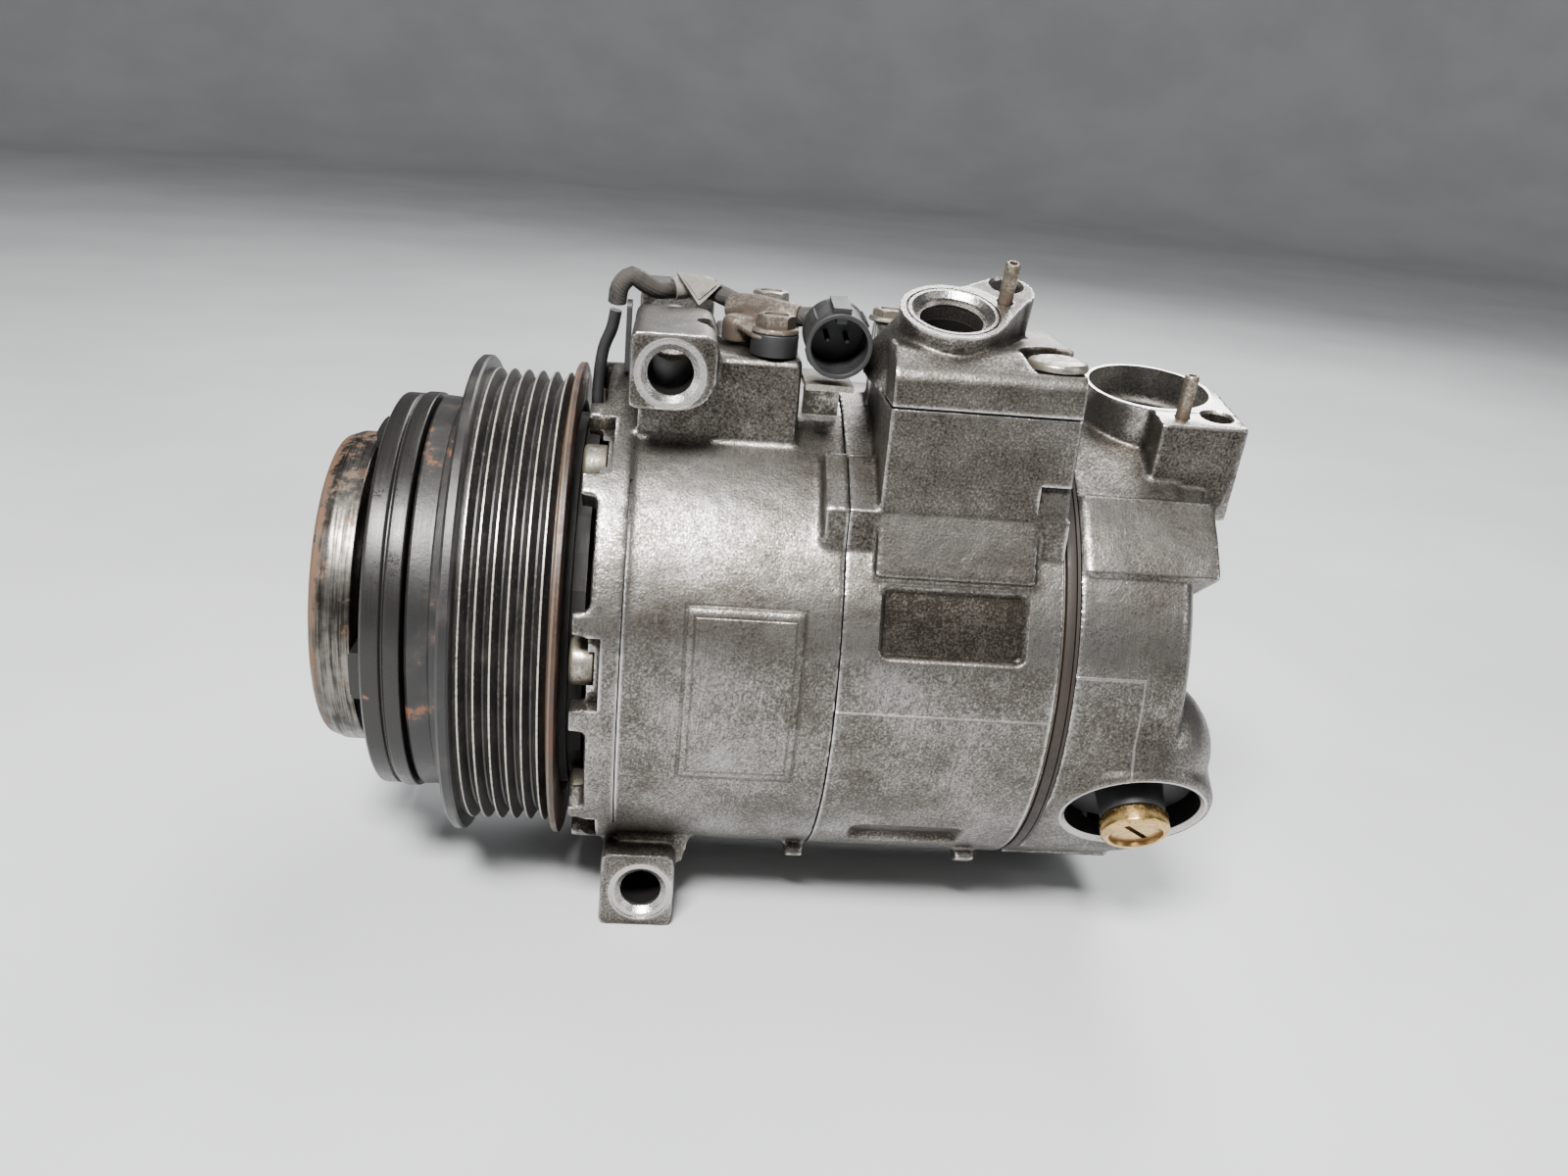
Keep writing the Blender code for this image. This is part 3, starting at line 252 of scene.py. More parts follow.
def tube(route, radius, segments=16, spacing=1.5):
    """Round cable along a smooth curve through the route's points."""
    path = [Vector(point) for point in route]
    path = [2 * path[0] - path[1]] + path + [2 * path[-1] - path[-2]]
    curve = []
    for a, b, c, d in zip(path, path[1:], path[2:], path[3:]):
        count = max(1, round((c - b).length / spacing))
        for step in range(count):
            t = step / count
            bend = (2 * a - 5 * b + 4 * c - d) * t**2 + (3 * b - a - 3 * c + d) * t**3
            curve.append(0.5 * (2 * b + (c - a) * t + bend))
    curve.append(path[-2])
    verts, faces = [], []
    side = Vector((0, 1, 0.2))
    for i, point in enumerate(curve):
        ahead = (curve[min(i + 1, len(curve) - 1)] - curve[max(i - 1, 0)]).normalized()
        side = (side - side.dot(ahead) * ahead).normalized()
        up = ahead.cross(side)
        for j in range(segments):
            t = 2 * math.pi * j / segments
            verts.append(point + (side * math.cos(t) + up * math.sin(t)) * radius)
    for i in range(len(curve) - 1):
        for j in range(segments):
            k = (j + 1) % segments
            low, high = i * segments, (i + 1) * segments
            faces.append((low + j, low + k, high + k, high + j))
    faces.append(tuple(range(segments))[::-1])
    faces.append(tuple(range((len(curve) - 1) * segments, len(curve) * segments)))
    return np.array([tuple(v) for v in verts]), faces


# Meshes: solids joined, softened and cut

def mesh_of(*solids):
    verts, faces, count = [], [], 0
    for points, sides in solids:
        verts.append(points)
        faces += [tuple(count + i for i in side) for side in sides]
        count += len(points)
    mesh = bpy.data.meshes.new("work")
    mesh.from_pydata((np.concatenate(verts) - CENTRE) * MM, [], faces)
    return mesh


def as_mesh(shape):
    """The mesh of a solid or of a list of solids that stay apart. A mesh is handed back."""
    if isinstance(shape, bpy.types.Mesh):
        return shape
    return mesh_of(*shape) if isinstance(shape, list) else mesh_of(shape)


def placed(data, name="work"):
    thing = bpy.data.objects.new(name, data)
    bpy.context.scene.collection.objects.link(thing)
    return thing


def applied(thing, helpers=()):
    """The object's mesh with its modifiers, and the object and its helpers removed."""
    bpy.context.view_layer.update()
    graph = bpy.context.evaluated_depsgraph_get()
    mesh = bpy.data.meshes.new_from_object(thing.evaluated_get(graph))
    for old in (thing, *helpers):
        bpy.data.objects.remove(old, do_unlink=True)
    return mesh


def combined(shape, tools, operation):
    """The shape's mesh after a Boolean with each tool."""
    thing = placed(as_mesh(shape))
    helpers = []
    for tool in tools:
        helpers.append(placed(as_mesh(tool)))
        modifier = thing.modifiers.new("tool", "BOOLEAN")
        modifier.operation = operation
        modifier.object = helpers[-1]
        modifier.solver = "MANIFOLD"
    return applied(thing, helpers)


def joined(shape, *others):
    return combined(shape, others, "UNION")


def cut(shape, *tools):
    return combined(shape, tools, "DIFFERENCE")


def crowned(body, dome):
    return combined(body, [dome], "INTERSECT")


def softened(solids, voxel, passes):
    """One rough-cast skin over the solids: their edges and inner corners rounded."""
    thing = placed(mesh_of(*solids))
    remesh = thing.modifiers.new("skin", "REMESH")
    remesh.mode = "VOXEL"
    remesh.voxel_size = voxel * MM
    smooth = thing.modifiers.new("smooth", "SMOOTH")
    smooth.factor = 0.5
    smooth.iterations = passes
    return applied(thing)


def points_of(mesh):
    co = np.empty(len(mesh.vertices) * 3, np.float32)
    mesh.vertices.foreach_get("co", co)
    return co.reshape(-1, 3)


def smoothstep(low, high, value):
    t = np.clip((value - low) / (high - low), 0, 1)
    return t * t * (3 - 2 * t)


def relief(mesh, patches):
    """Raises or sinks rounded patches of the barrel.

    A patch is its stations, angles, height, edge width and corner radius.
    """
    co = points_of(mesh)
    at = co / MM + CENTRE
    radius = np.hypot(at[:, 1], at[:, 2])
    angle = np.degrees(np.arctan2(at[:, 2], -at[:, 1]))
    for stations, angles, height, edge, corner in patches:
        ahead = np.maximum(stations[0] - at[:, 0], at[:, 0] - stations[1]) + corner
        aside = np.maximum(angles[0] - angle, angle - angles[1]) * math.pi / 180 * BODY_RADIUS + corner
        outside = np.hypot(np.maximum(ahead, 0), np.maximum(aside, 0))
        distance = outside + np.minimum(np.maximum(ahead, aside), 0) - corner
        on_skin = smoothstep(BODY_RADIUS - 2.1, BODY_RADIUS - 1.3, radius)
        amount = height * smoothstep(-edge, edge, -distance) * on_skin
        for axis in (1, 2):
            co[:, axis] += amount * MM * at[:, axis] / radius
    mesh.vertices.foreach_set("co", co.ravel())
    mesh.update()


def roughened(mesh, waves=((7.0, 0.10), (2.6, 0.05))):
    """Moves each vertex along its normal by noise of these (size, height) pairs."""
    co = points_of(mesh)
    normals = np.array([tuple(v.normal) for v in mesh.vertices], np.float32)
    for size, height in waves:
        scaled = (co / (size * MM)).tolist()
        shift = np.array([noise.noise(point) for point in scaled], np.float32)
        co += normals * (shift * height * MM)[:, None]
    mesh.vertices.foreach_set("co", co.ravel())
    mesh.update()
    return mesh


# Materials

BLACK = (0.010, 0.009, 0.008)


class Shader:
    """A node material whose textures are fixed to the object, with sizes in millimetres."""

    def __init__(self, name):
        self.material = bpy.data.materials.new(name)
        self.material.use_nodes = True
        self.tree = self.material.node_tree
        self.bsdf = self.tree.nodes["Principled BSDF"]
        self.point = self.new("TexCoord").outputs["Object"]

    def new(self, kind, inputs=None, **settings):
        node = self.tree.nodes.new("ShaderNode" + kind)
        for key, value in settings.items():
            setattr(node, key, value)
        for key, value in (inputs or {}).items():
            self.feed(node.inputs[key], value)
        return node

    def feed(self, socket, value):
        if isinstance(value, bpy.types.NodeSocket):
            self.tree.links.new(value, socket)
        else:
            socket.default_value = value

    def math(self, operation, a, b=0.0, c=0.0):
        return self.new("Math", {0: a, 1: b, 2: c}, operation=operation).outputs[0]

    def times(self, a, b):
        return self.math("MULTIPLY", a, b)

    def add(self, amount, weight, value):
        """The value plus the amount times its weight."""
        return self.math("MULTIPLY_ADD", amount, weight, value)

    def vector(self, operation, a, b, output=0):
        return self.new("VectorMath", {0: a, 1: b}, operation=operation).outputs[output]

    def noise(self, size, detail=4.0, roughness=0.55, at=None):
        """Noise in patches of a size, or over points at that are scaled already."""
        inputs = {"Vector": at or self.point, "Detail": detail, "Roughness": roughness}
        inputs["Scale"] = 1.0 if at else 1 / (size * MM)
        return self.new("TexNoise", inputs).outputs["Fac"]

    def step(self, low, high, value, to=(0.0, 1.0)):
        inputs = {0: value, 1: low, 2: high, 3: to[0], 4: to[1]}
        return self.new("MapRange", inputs, interpolation_type="SMOOTHSTEP").outputs[0]

    def between(self, amount, start, end):
        return self.step(0.0, 1.0, amount, (start, end))

    def mix(self, amount, a, b):
        colours = [(*c, 1.0) if isinstance(c, tuple) else c for c in (a, b)]
        node = self.new("Mix", {0: amount, 6: colours[0], 7: colours[1]}, data_type="RGBA")
        return node.outputs[2]

    def layered(self, colour, *layers):
        """The colour under layers of (amount, strength, tint)."""
        for amount, strength, tint in layers:
            colour = self.mix(amount if strength == 1 else self.times(amount, strength), colour, tint)
        return colour

    def cylinder(self):
        """(station, turn, radius, height) about the shaft, in millimetres and radians."""
        parts = self.new("SeparateXYZ", {0: self.point}).outputs
        station, across, up = (self.add(parts[i], 1 / MM, float(CENTRE[i])) for i in range(3))
        turn = self.math("ARCTAN2", up, self.times(across, -1.0))
        squares = self.math("ADD", self.times(across, across), self.times(up, up))
        return station, turn, self.math("SQRT", squares), up

    def strokes(self, length, width, slant=0.0):
        """Noise drawn out round the shaft, as brush or lathe marks."""
        station, turn, radius, _ = self.cylinder()
        arc_ = self.times(turn, 60.0)
        along = self.add(station, slant, arc_)
        across = self.add(arc_, -slant, station)
        spread = ((across, width), (along, length), (radius, width))
        place = {i: self.math("DIVIDE", value, size) for i, (value, size) in enumerate(spread)}
        return self.noise(1.0, 3.0, 0.6, self.new("CombineXYZ", place).outputs[0])

    def crevices(self, distance=5.0, inside=False):
        """Nearness of other surfaces, or of the far side of an edge when it looks inside."""
        node = self.new("AmbientOcclusion", {"Distance": distance * MM}, samples=6, inside=inside)
        return self.math("SUBTRACT", 1.0, node.outputs["AO"])

    def zone(self, at, radius, low, high):
        """1 inside a cylinder on the frame's Z, from low to high."""
        axis = tuple(float(value) for value in at[1][2])
        offset = self.vector("SUBTRACT", self.point, tuple((at[0] - CENTRE) * MM))
        height = self.vector("DOT_PRODUCT", offset, axis, 1)
        spread = self.vector("LENGTH", self.vector("CROSS_PRODUCT", offset, axis), (0.0, 0.0, 0.0), 1)
        within = self.step((radius + 0.12) * MM, (radius - 0.08) * MM, spread)
        above = self.step((low - 0.1) * MM, (low + 0.1) * MM, height)
        below = self.step((high + 0.1) * MM, (high - 0.1) * MM, height)
        return self.times(within, self.times(above, below))

    def within_any(self, zones):
        inside = 0.0
        for zone in zones:
            inside = self.math("MAXIMUM", self.zone(*zone), inside)
        return inside

    def total(self, *weighted, start=0.0):
        """The start value and the sum of (socket, weight) pairs."""
        value = start
        for socket, weight in weighted:
            value = self.add(socket, weight, value)
        return value

    def bump(self, height, distance):
        inputs = {"Height": height, "Distance": distance * MM, "Strength": 1.0}
        self.feed(self.bsdf.inputs["Normal"], self.new("Bump", inputs).outputs[0])

    def made(self, colour, roughness, metallic=0.0):
        for key, value in (("Base Color", colour), ("Roughness", roughness), ("Metallic", metallic)):
            self.feed(self.bsdf.inputs[key], value)
        return self.material


def worn(name, clean, stain, metal, rough, patch, level, grain=0.7, brush=(10.0, 0.35), bump=0.05, mottle=0.5,
         spots=None):
    """A used surface: clean colour, stain where noise holds it and painted shade in its hollows, fine grain
    and brush marks.

    metal and rough are (clean, under stain and painted shade) values; spots is (colour, size, level) for rust
    or bare metal.
    """
    shade = Shader(name)
    patches = shade.noise(patch, 5.0, 0.62)
    fine = shade.noise(patch / 5, 4.0, 0.6)
    speckle = shade.noise(grain, 2.0, 0.5)
    marks = shade.strokes(*brush)
    # Occlusion by nearby surfaces: painted shade in hollows, added to the stain weight.
    hollow_shade = shade.crevices()
    weight = shade.total((patches, 0.62), (fine, 0.42), (speckle, mottle), (marks, -0.25), (hollow_shade, 0.8))
    # The mask below carries stain and painted shade together.
    stain_and_shade = shade.step(level - 0.16, level + 0.16, weight)
    base = shade.mix(shade.step(0.3, 0.75, marks), tuple(0.8 * c for c in clean), clean)
    colour = shade.mix(stain_and_shade, base, stain)
    roughness = shade.total((shade.between(stain_and_shade, *rough), 1.0), (shade.math("SUBTRACT", marks, 0.5), 0.25))
    if spots:
        tint, size, threshold = spots
        cloud = shade.total((shade.noise(size, 6.0, 0.65), 0.8), (fine, 0.2))
        spotted = shade.step(threshold, threshold + 0.08, cloud)
        colour = shade.mix(spotted, colour, tint)
        roughness = shade.add(spotted, 0.2, roughness)
    shade.bump(shade.total((speckle, 0.5), (marks, 0.35), (fine, 0.8), (stain_and_shade, -0.25)), bump)
    return shade.made(colour, roughness, shade.between(stain_and_shade, *metal))


def band(shade, value, centre, width, soft):
    """1 within width of the centre, falling off over soft."""
    return shade.step(width + soft, width, shade.math("ABSOLUTE", shade.math("SUBTRACT", value, centre)))


def edge_distance(shade, station, arc_, box):
    """Distance outside a box on the barrel (two stations, two angles), less than zero inside it."""
    outside = []
    arc_ends = [math.radians(angle) * BODY_RADIUS for angle in box[2:]]
    for value, ends in ((station, box[:2]), (arc_, arc_ends)):
        offset = shade.math("ABSOLUTE", shade.math("SUBTRACT", value, sum(ends) / 2))
        outside.append(shade.math("SUBTRACT", offset, (ends[1] - ends[0]) / 2))
    return shade.math("MAXIMUM", *outside)


def casting(name, lines=(), machined=(), bore_shade_zones=(), darker_boxes=()):
    """Die-cast aluminium, rubbed bright on its edges, with brown stain in its pores and painted shade in its
    hollows and on its upper front walls.

    lines are raised or sunk lines round a box on the barrel: two stations, two angles, width and height;
    raised lines get a painted highlight and sunk lines a painted shade.
    machined zones and bore zones are each a frame, radius, low and high; the bore zones are painted
    near-black, a painted shade. The last argument holds boxes on the barrel, two stations and two angles
    each, painted in a deeper tone.
    """
    shade = Shader(name)
    station, turn, radius, up = shade.cylinder()
    arc_ = shade.times(turn, BODY_RADIUS)
    large = shade.noise(24.0, 4.0, 0.6)
    patches = shade.noise(8.0, 5.0, 0.65)
    pores = shade.noise(0.55, 2.0, 0.6)
    grit = shade.noise(1.9, 4.0, 0.65)
    around = shade.strokes(6.0, 0.20, 0.05)
    slanted = shade.strokes(5.0, 0.22, 0.8)
    brushed = shade.mix(shade.step(0.42, 0.6, shade.noise(15.0, 2.0)), around, slanted)
    edge = shade.total((shade.crevices(1.1, inside=True), 1.0), (grit, 0.25), start=-0.12)
    edge = shade.step(0.10, 0.42, edge)
    # Upper walls that face the front are pushed towards the stain colour: a painted shade.
    facing = shade.vector("DOT_PRODUCT", shade.new("TexCoord").outputs["Normal"], (0.0, -1.0, 0.0), 1)
    front_wall_shade = shade.times(shade.step(0.955, 0.99, facing), shade.step(28.0, 38.0, up))
    finish = shade.within_any(machined)
    # Besides stain noise, the weight holds painted shade: occlusion by nearby surfaces and the upper front
    # walls.
    weight = shade.total(
        (large, 0.95), (patches, 0.40), (grit, 0.26), (pores, 1.15), (brushed, -0.30),
        (shade.crevices(), 0.62), (edge, -0.45), (front_wall_shade, 0.20), (finish, -0.60),
    )
    # Boxes on the barrel, such as the sunk windows, are painted in a deeper tone.
    for box in darker_boxes:
        inside = shade.step(0.9, -0.9, edge_distance(shade, station, arc_, box))
        weight = shade.add(inside, 0.34, weight)
    # High weight paints stain and painted shade together, near-black where both pile up.
    stain_and_shade = shade.step(0.84, 1.44, weight)
    deepest_stain_and_shade = shade.step(1.40, 1.72, weight)
    colour = shade.layered(
        (0.225, 0.215, 0.203),
        (shade.step(0.34, 0.66, brushed), 1, (0.40, 0.39, 0.37)),
        (edge, 0.7, (0.76, 0.74, 0.71)),
        (stain_and_shade, 1, (0.080, 0.071, 0.061)),
        (deepest_stain_and_shade, 1, (0.022, 0.018, 0.014)),
        (finish, 0.6, (0.56, 0.54, 0.51)),
    )
    metallic = shade.between(stain_and_shade, 1.0, 0.90)
    roughness = shade.total((stain_and_shade, 0.14), (pores, 0.16), (brushed, -0.10), (edge, -0.06), start=0.25)
    height = shade.total((pores, 0.55), (grit, 0.55), (brushed, 0.35), (patches, 0.7))
    for *box, width, tall in lines:
        line = band(shade, edge_distance(shade, station, arc_, box), 0.0, width, 0.35)
        line = shade.times(line, shade.step(58.8, 59.6, radius))
        height = shade.add(line, tall, height)
        # Raised lines are painted light, a painted highlight; sunk lines are painted near-black, a painted
        # shade in their grooves.
        shown, tint = (0.25, (0.60, 0.58, 0.55)) if tall > 0 else (0.5, (0.05, 0.04, 0.03))
        colour = shade.layered(colour, (line, shown, tint))
    # Bore zones are painted near-black, with damped reflections: painted shade deep in the bores.
    inside = shade.within_any(bore_shade_zones)
    outside = shade.math("SUBTRACT", 1.0, inside)
    colour = shade.mix(inside, colour, (0.008, 0.007, 0.007))
    metallic = shade.times(metallic, outside)
    roughness = shade.add(inside, 0.4, roughness)
    shade.bump(height, 0.11)
    shade.feed(shade.bsdf.inputs["Specular IOR Level"], shade.between(outside, 0.05, 0.5))
    return shade.made(colour, roughness, metallic)


def pulley_paint():
    """Black paint, its rib crests worn bright by the belt and its rear flange rusted."""
    shade = Shader("pulley_paint")
    station, _, radius, _ = shade.cylinder()
    marks = shade.strokes(30.0, 0.22)
    patches = shade.noise(8.0, 5.0, 0.6)
    specks = shade.noise(0.9, 3.0, 0.6)
    ribs = shade.times(shade.step(-1.2, -0.8, station), shade.step(19.4, 19.0, station))
    crest = shade.step(57.80, 58.02, shade.total((radius, 1.0), (specks, 0.5), (marks, -0.5)))
    crest = shade.times(crest, ribs)
    rear = shade.step(18.9, 19.6, station)
    front = shade.step(-4.6, -5.4, station)
    lip = shade.times(band(shade, station, 20.5, 0.16, 0.15), shade.step(60.0, 60.4, radius))
    rust = shade.step(0.46, 0.62, shade.total((patches, 0.55), (specks, 0.28), (marks, 0.2)))
    rust_rear = shade.times(rear, rust)
    rust_front = shade.times(front, shade.step(0.59, 0.66, patches))
    dust = shade.times(ribs, shade.step(0.54, 0.72, specks))
    oil = shade.step(0.42, 0.7, patches)
    colour = shade.layered(
        (0.010, 0.0095, 0.0095),
        (oil, 1, (0.028, 0.025, 0.023)),
        (dust, 0.6, (0.085, 0.070, 0.058)),
        (crest, 1, (0.52, 0.48, 0.41)),
        (rear, 0.85, (0.030, 0.019, 0.013)),
        (rust_rear, 1, (0.055, 0.023, 0.012)),
        (lip, 0.8, (0.20, 0.145, 0.10)),
        (rust_front, 1, (0.13, 0.055, 0.027)),
    )
    metallic = shade.total((crest, 0.5), (lip, 0.5), start=0.10)
    roughness = shade.total((marks, 0.14), (rust_rear, 0.2), (crest, -0.10), (specks, 0.1), start=0.28)
    shade.bump(shade.total((marks, 0.4), (specks, 0.4), (rust, 0.25), (patches, 0.4)), 0.05)
    return shade.made(colour, roughness, metallic)


def cup_steel():
    """Bare pressed steel: rust in patches round the rim, burnished where it has been handled."""
    shade = Shader("cup_steel")
    station, _, _, up = shade.cylinder()
    marks = shade.strokes(26.0, 0.5)
    cloud = shade.noise(11.0, 5.0, 0.62)
    fine = shade.noise(2.0, 5.0, 0.65)
    rim = shade.step(-34.2, -36.6, station)
    burnished = shade.step(0.40, 0.62, shade.total((cloud, 0.5), (marks, 0.5)))
    top = shade.step(12.0, 38.0, up)
    rust = shade.total((shade.noise(7.0, 6.0, 0.7), 0.7), (fine, 0.25), (rim, 0.13), (top, 0.05))
    rust = shade.step(0.50, 0.64, rust)
    colour = shade.layered(
        (0.028, 0.024, 0.021),
        (burnished, 1, (0.19, 0.177, 0.160)),
        (rim, 0.55, (0.15, 0.118, 0.092)),
        (rust, 0.85, (0.115, 0.060, 0.034)),
    )
    metallic = shade.between(rust, 0.95, 0.40)
    roughness = shade.total((fine, 0.2), (rust, 0.22), (burnished, -0.1), start=0.28)
    shade.bump(shade.total((marks, 0.3), (fine, 0.6), (rust, 0.3)), 0.06)
    return shade.made(colour, roughness, metallic)


def sleeve_cloth():
    """Dusty woven sleeve: fine diagonal braid with grey-brown dirt."""
    shade = Shader("sleeve_cloth")
    parts = shade.new("SeparateXYZ", {0: shade.point}).outputs
    weave = 0.0
    for sign in (1.0, -1.0):
        run = shade.total((parts[0], 5200.0), (parts[1], 5200.0 * sign), (parts[2], 5200.0))
        weave = shade.math("MAXIMUM", shade.math("SINE", run), weave)
    dirt = shade.step(0.38, 0.62, shade.noise(5.0, 5.0, 0.6))
    colour = shade.mix(dirt, BLACK, (0.036, 0.031, 0.026))
    shade.bump(shade.total((weave, 0.6), (dirt, 0.4)), 0.12)
    return shade.made(colour, shade.between(dirt, 0.55, 0.85))


def plain_dirty(name, clean, dust, rough, size, amount=0.6, bump=0.03):
    """Plastic, rubber or tape with a film of dust."""
    shade = Shader(name)
    cloud = shade.noise(size, 5.0, 0.6)
    grit = shade.noise(0.5, 3.0)
    dusty = shade.times(shade.step(0.45, 0.75, shade.total((cloud, 0.8), (grit, 0.2))), amount)
    roughness = shade.total((dusty, 0.25), (grit, 0.08), start=rough)
    shade.bump(shade.total((grit, 0.7), (cloud, 0.8)), bump)
    return shade.made(shade.mix(dusty, clean, dust), roughness)


# Sunk lines round the label panel; the casting paints their grooves with painted shade.
LABEL_EDGES = ((49.9, 76.6, -20.5, 20.5, 0.25, -1.6), (51.9, 74.6, -18.4, 18.2, 0.10, -0.8))
# Sunk windows in the block; the casting also paints these boxes in a deeper tone.
WINDOWS = ((93.6, 126.4, 11.8, 26.3), (93.8, 121.0, -46.5, -37.4))

# The castings' raised lines get a painted highlight, and their bore zones are painted near-black as painted
# shade.
MATERIALS = {
    "cast_aluminium": casting("cast_aluminium"),
    "cast_housing": casting(
        "cast_housing", LABEL_EDGES,
        machined=[(at, 7.8, -60.0, 60.0) for at in EAR_AXES],
        bore_shade_zones=[(at, 5.25, -41.5, 43.5) for at in EAR_AXES],
    ),
    "cast_block": casting("cast_block", [(60.0, 200.0, -90.0, -1.2, 0.12, 1.6)], darker_boxes=WINDOWS),
    "cast_cover": casting(
        "cast_cover",
        machined=[(DISCHARGE, 13.5, -0.25, 1.0), (DISCHARGE, 9.9, -2.6, 1.0)],
        bore_shade_zones=[(DISCHARGE_HOLE, 3.4, -20.0, -0.9), (DISCHARGE, 7.3, -40.0, -6.0)],
    ),
    "cast_head": casting(
        "cast_head", [(100.0, 155.3, -60.0, 9.5, 0.12, 1.5)],
        machined=[(SUCTION, 30.0, -0.25, 1.0), (SUCTION, 14.9, -9.2, 1.0), (VALVE, 17.7, -1.1, 1.0)],
        bore_shade_zones=[(VALVE, 16.5, -12.2, -0.9), (VALVE, 12.8, -46.5, -12.0), (SUCTION, 13.7, -25.5, -9.2),
              (SUCTION_HOLE, 3.4, -20.0, -0.9)],
    ),
    "bare_steel": worn(
        "bare_steel", (0.42, 0.38, 0.33), (0.10, 0.075, 0.055), (1.0, 0.7), (0.30, 0.5), 6.0, 0.62,
    ),
    "rusty_steel": cup_steel(),
    "zinc_steel": worn(
        "zinc_steel", (0.50, 0.48, 0.43), (0.11, 0.095, 0.072), (1.0, 0.6), (0.30, 0.55), 5.0, 0.66,
        grain=0.35, brush=(4.0, 0.3),
    ),
    "black_steel": pulley_paint(),
    "clutch_steel": worn(
        "clutch_steel", (0.026, 0.024, 0.023), BLACK, (0.5, 0.2), (0.22, 0.36), 13.0, 0.55,
        grain=0.5, brush=(40.0, 0.4), spots=((0.20, 0.095, 0.05), 6.0, 0.64),
    ),
    "brass": worn(
        "brass", (0.74, 0.50, 0.20), (0.26, 0.165, 0.075), (1.0, 0.9), (0.20, 0.36), 4.0, 0.62,
        brush=(6.0, 0.12), bump=0.015, mottle=0.3,
    ),
    "rubber": plain_dirty("rubber", (0.020, 0.019, 0.018), (0.10, 0.09, 0.08), 0.62, 6.0),
    "gasket": worn(
        "gasket", (0.034, 0.022, 0.016), (0.014, 0.010, 0.008), (0.3, 0.2), (0.42, 0.6), 8.0, 0.6,
        brush=(30.0, 0.3),
    ),
    "black_plastic": plain_dirty("black_plastic", (0.008, 0.008, 0.009), (0.032, 0.030, 0.029), 0.48, 7.0),
    "sleeve": sleeve_cloth(),
    "tape": plain_dirty("tape", (0.17, 0.16, 0.14), (0.07, 0.06, 0.05), 0.5, 4.0, 0.9, 0.06),
    "coil_copper": worn(
        "coil_case", (0.022, 0.019, 0.017), (0.009, 0.008, 0.007), (0.4, 0.2), (0.5, 0.7), 9.0, 0.5,
        spots=((0.16, 0.07, 0.035), 6.0, 0.60),
    ),
    "rusty_clamp": worn(
        "rusty_clamp", (0.33, 0.305, 0.265), (0.070, 0.053, 0.040), (0.9, 0.5), (0.36, 0.6), 4.0, 0.56,
        spots=((0.115, 0.055, 0.028), 4.0, 0.62),
    ),
}
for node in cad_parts.values():
    names = [name.name for name in node.data.materials if name]
    for i, name in enumerate(names):
        node.data.materials[i] = MATERIALS.get(name.split(".")[0], MATERIALS["bare_steel"])


def piece(name, mesh, body, slot, replaces, material=None, angle=38):
    """A finished piece of the model, riding its body in place of the CAD nodes it stands for."""
    mesh = as_mesh(mesh)
    mesh.name = name
    mesh.materials.clear()
    mesh.materials.append(MATERIALS[material or slot])
    mesh.shade_smooth()
    mesh.set_sharp_from_angle(angle=math.radians(angle))
    thing = placed(mesh, name)
    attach(thing, body)
    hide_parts(*replaces)


def fine(name, mesh, slot, material=None, body="housing", angle=38):
    """A piece named after the one CAD node it stands for."""
    piece(name + "_fine", mesh, body, slot, [name], material, angle)


# Castings

def lugs(start, end):
    """The two lugs beside a joint between castings."""
    corners = [(-50.3, 30.0), (-50.3, 43.5), (-36.5, 52.8), (-27.0, 44.0), (-40.0, 28.0)]
    return [along_prism([(across * side, up) for across, up in corners], start, end) for side in (1, -1)]


def beyond(station, far):
    """Everything from a joint's station to far, to cut it away."""
    return block((min(station, far), -90, -90), (max(station, far), 90, 90))


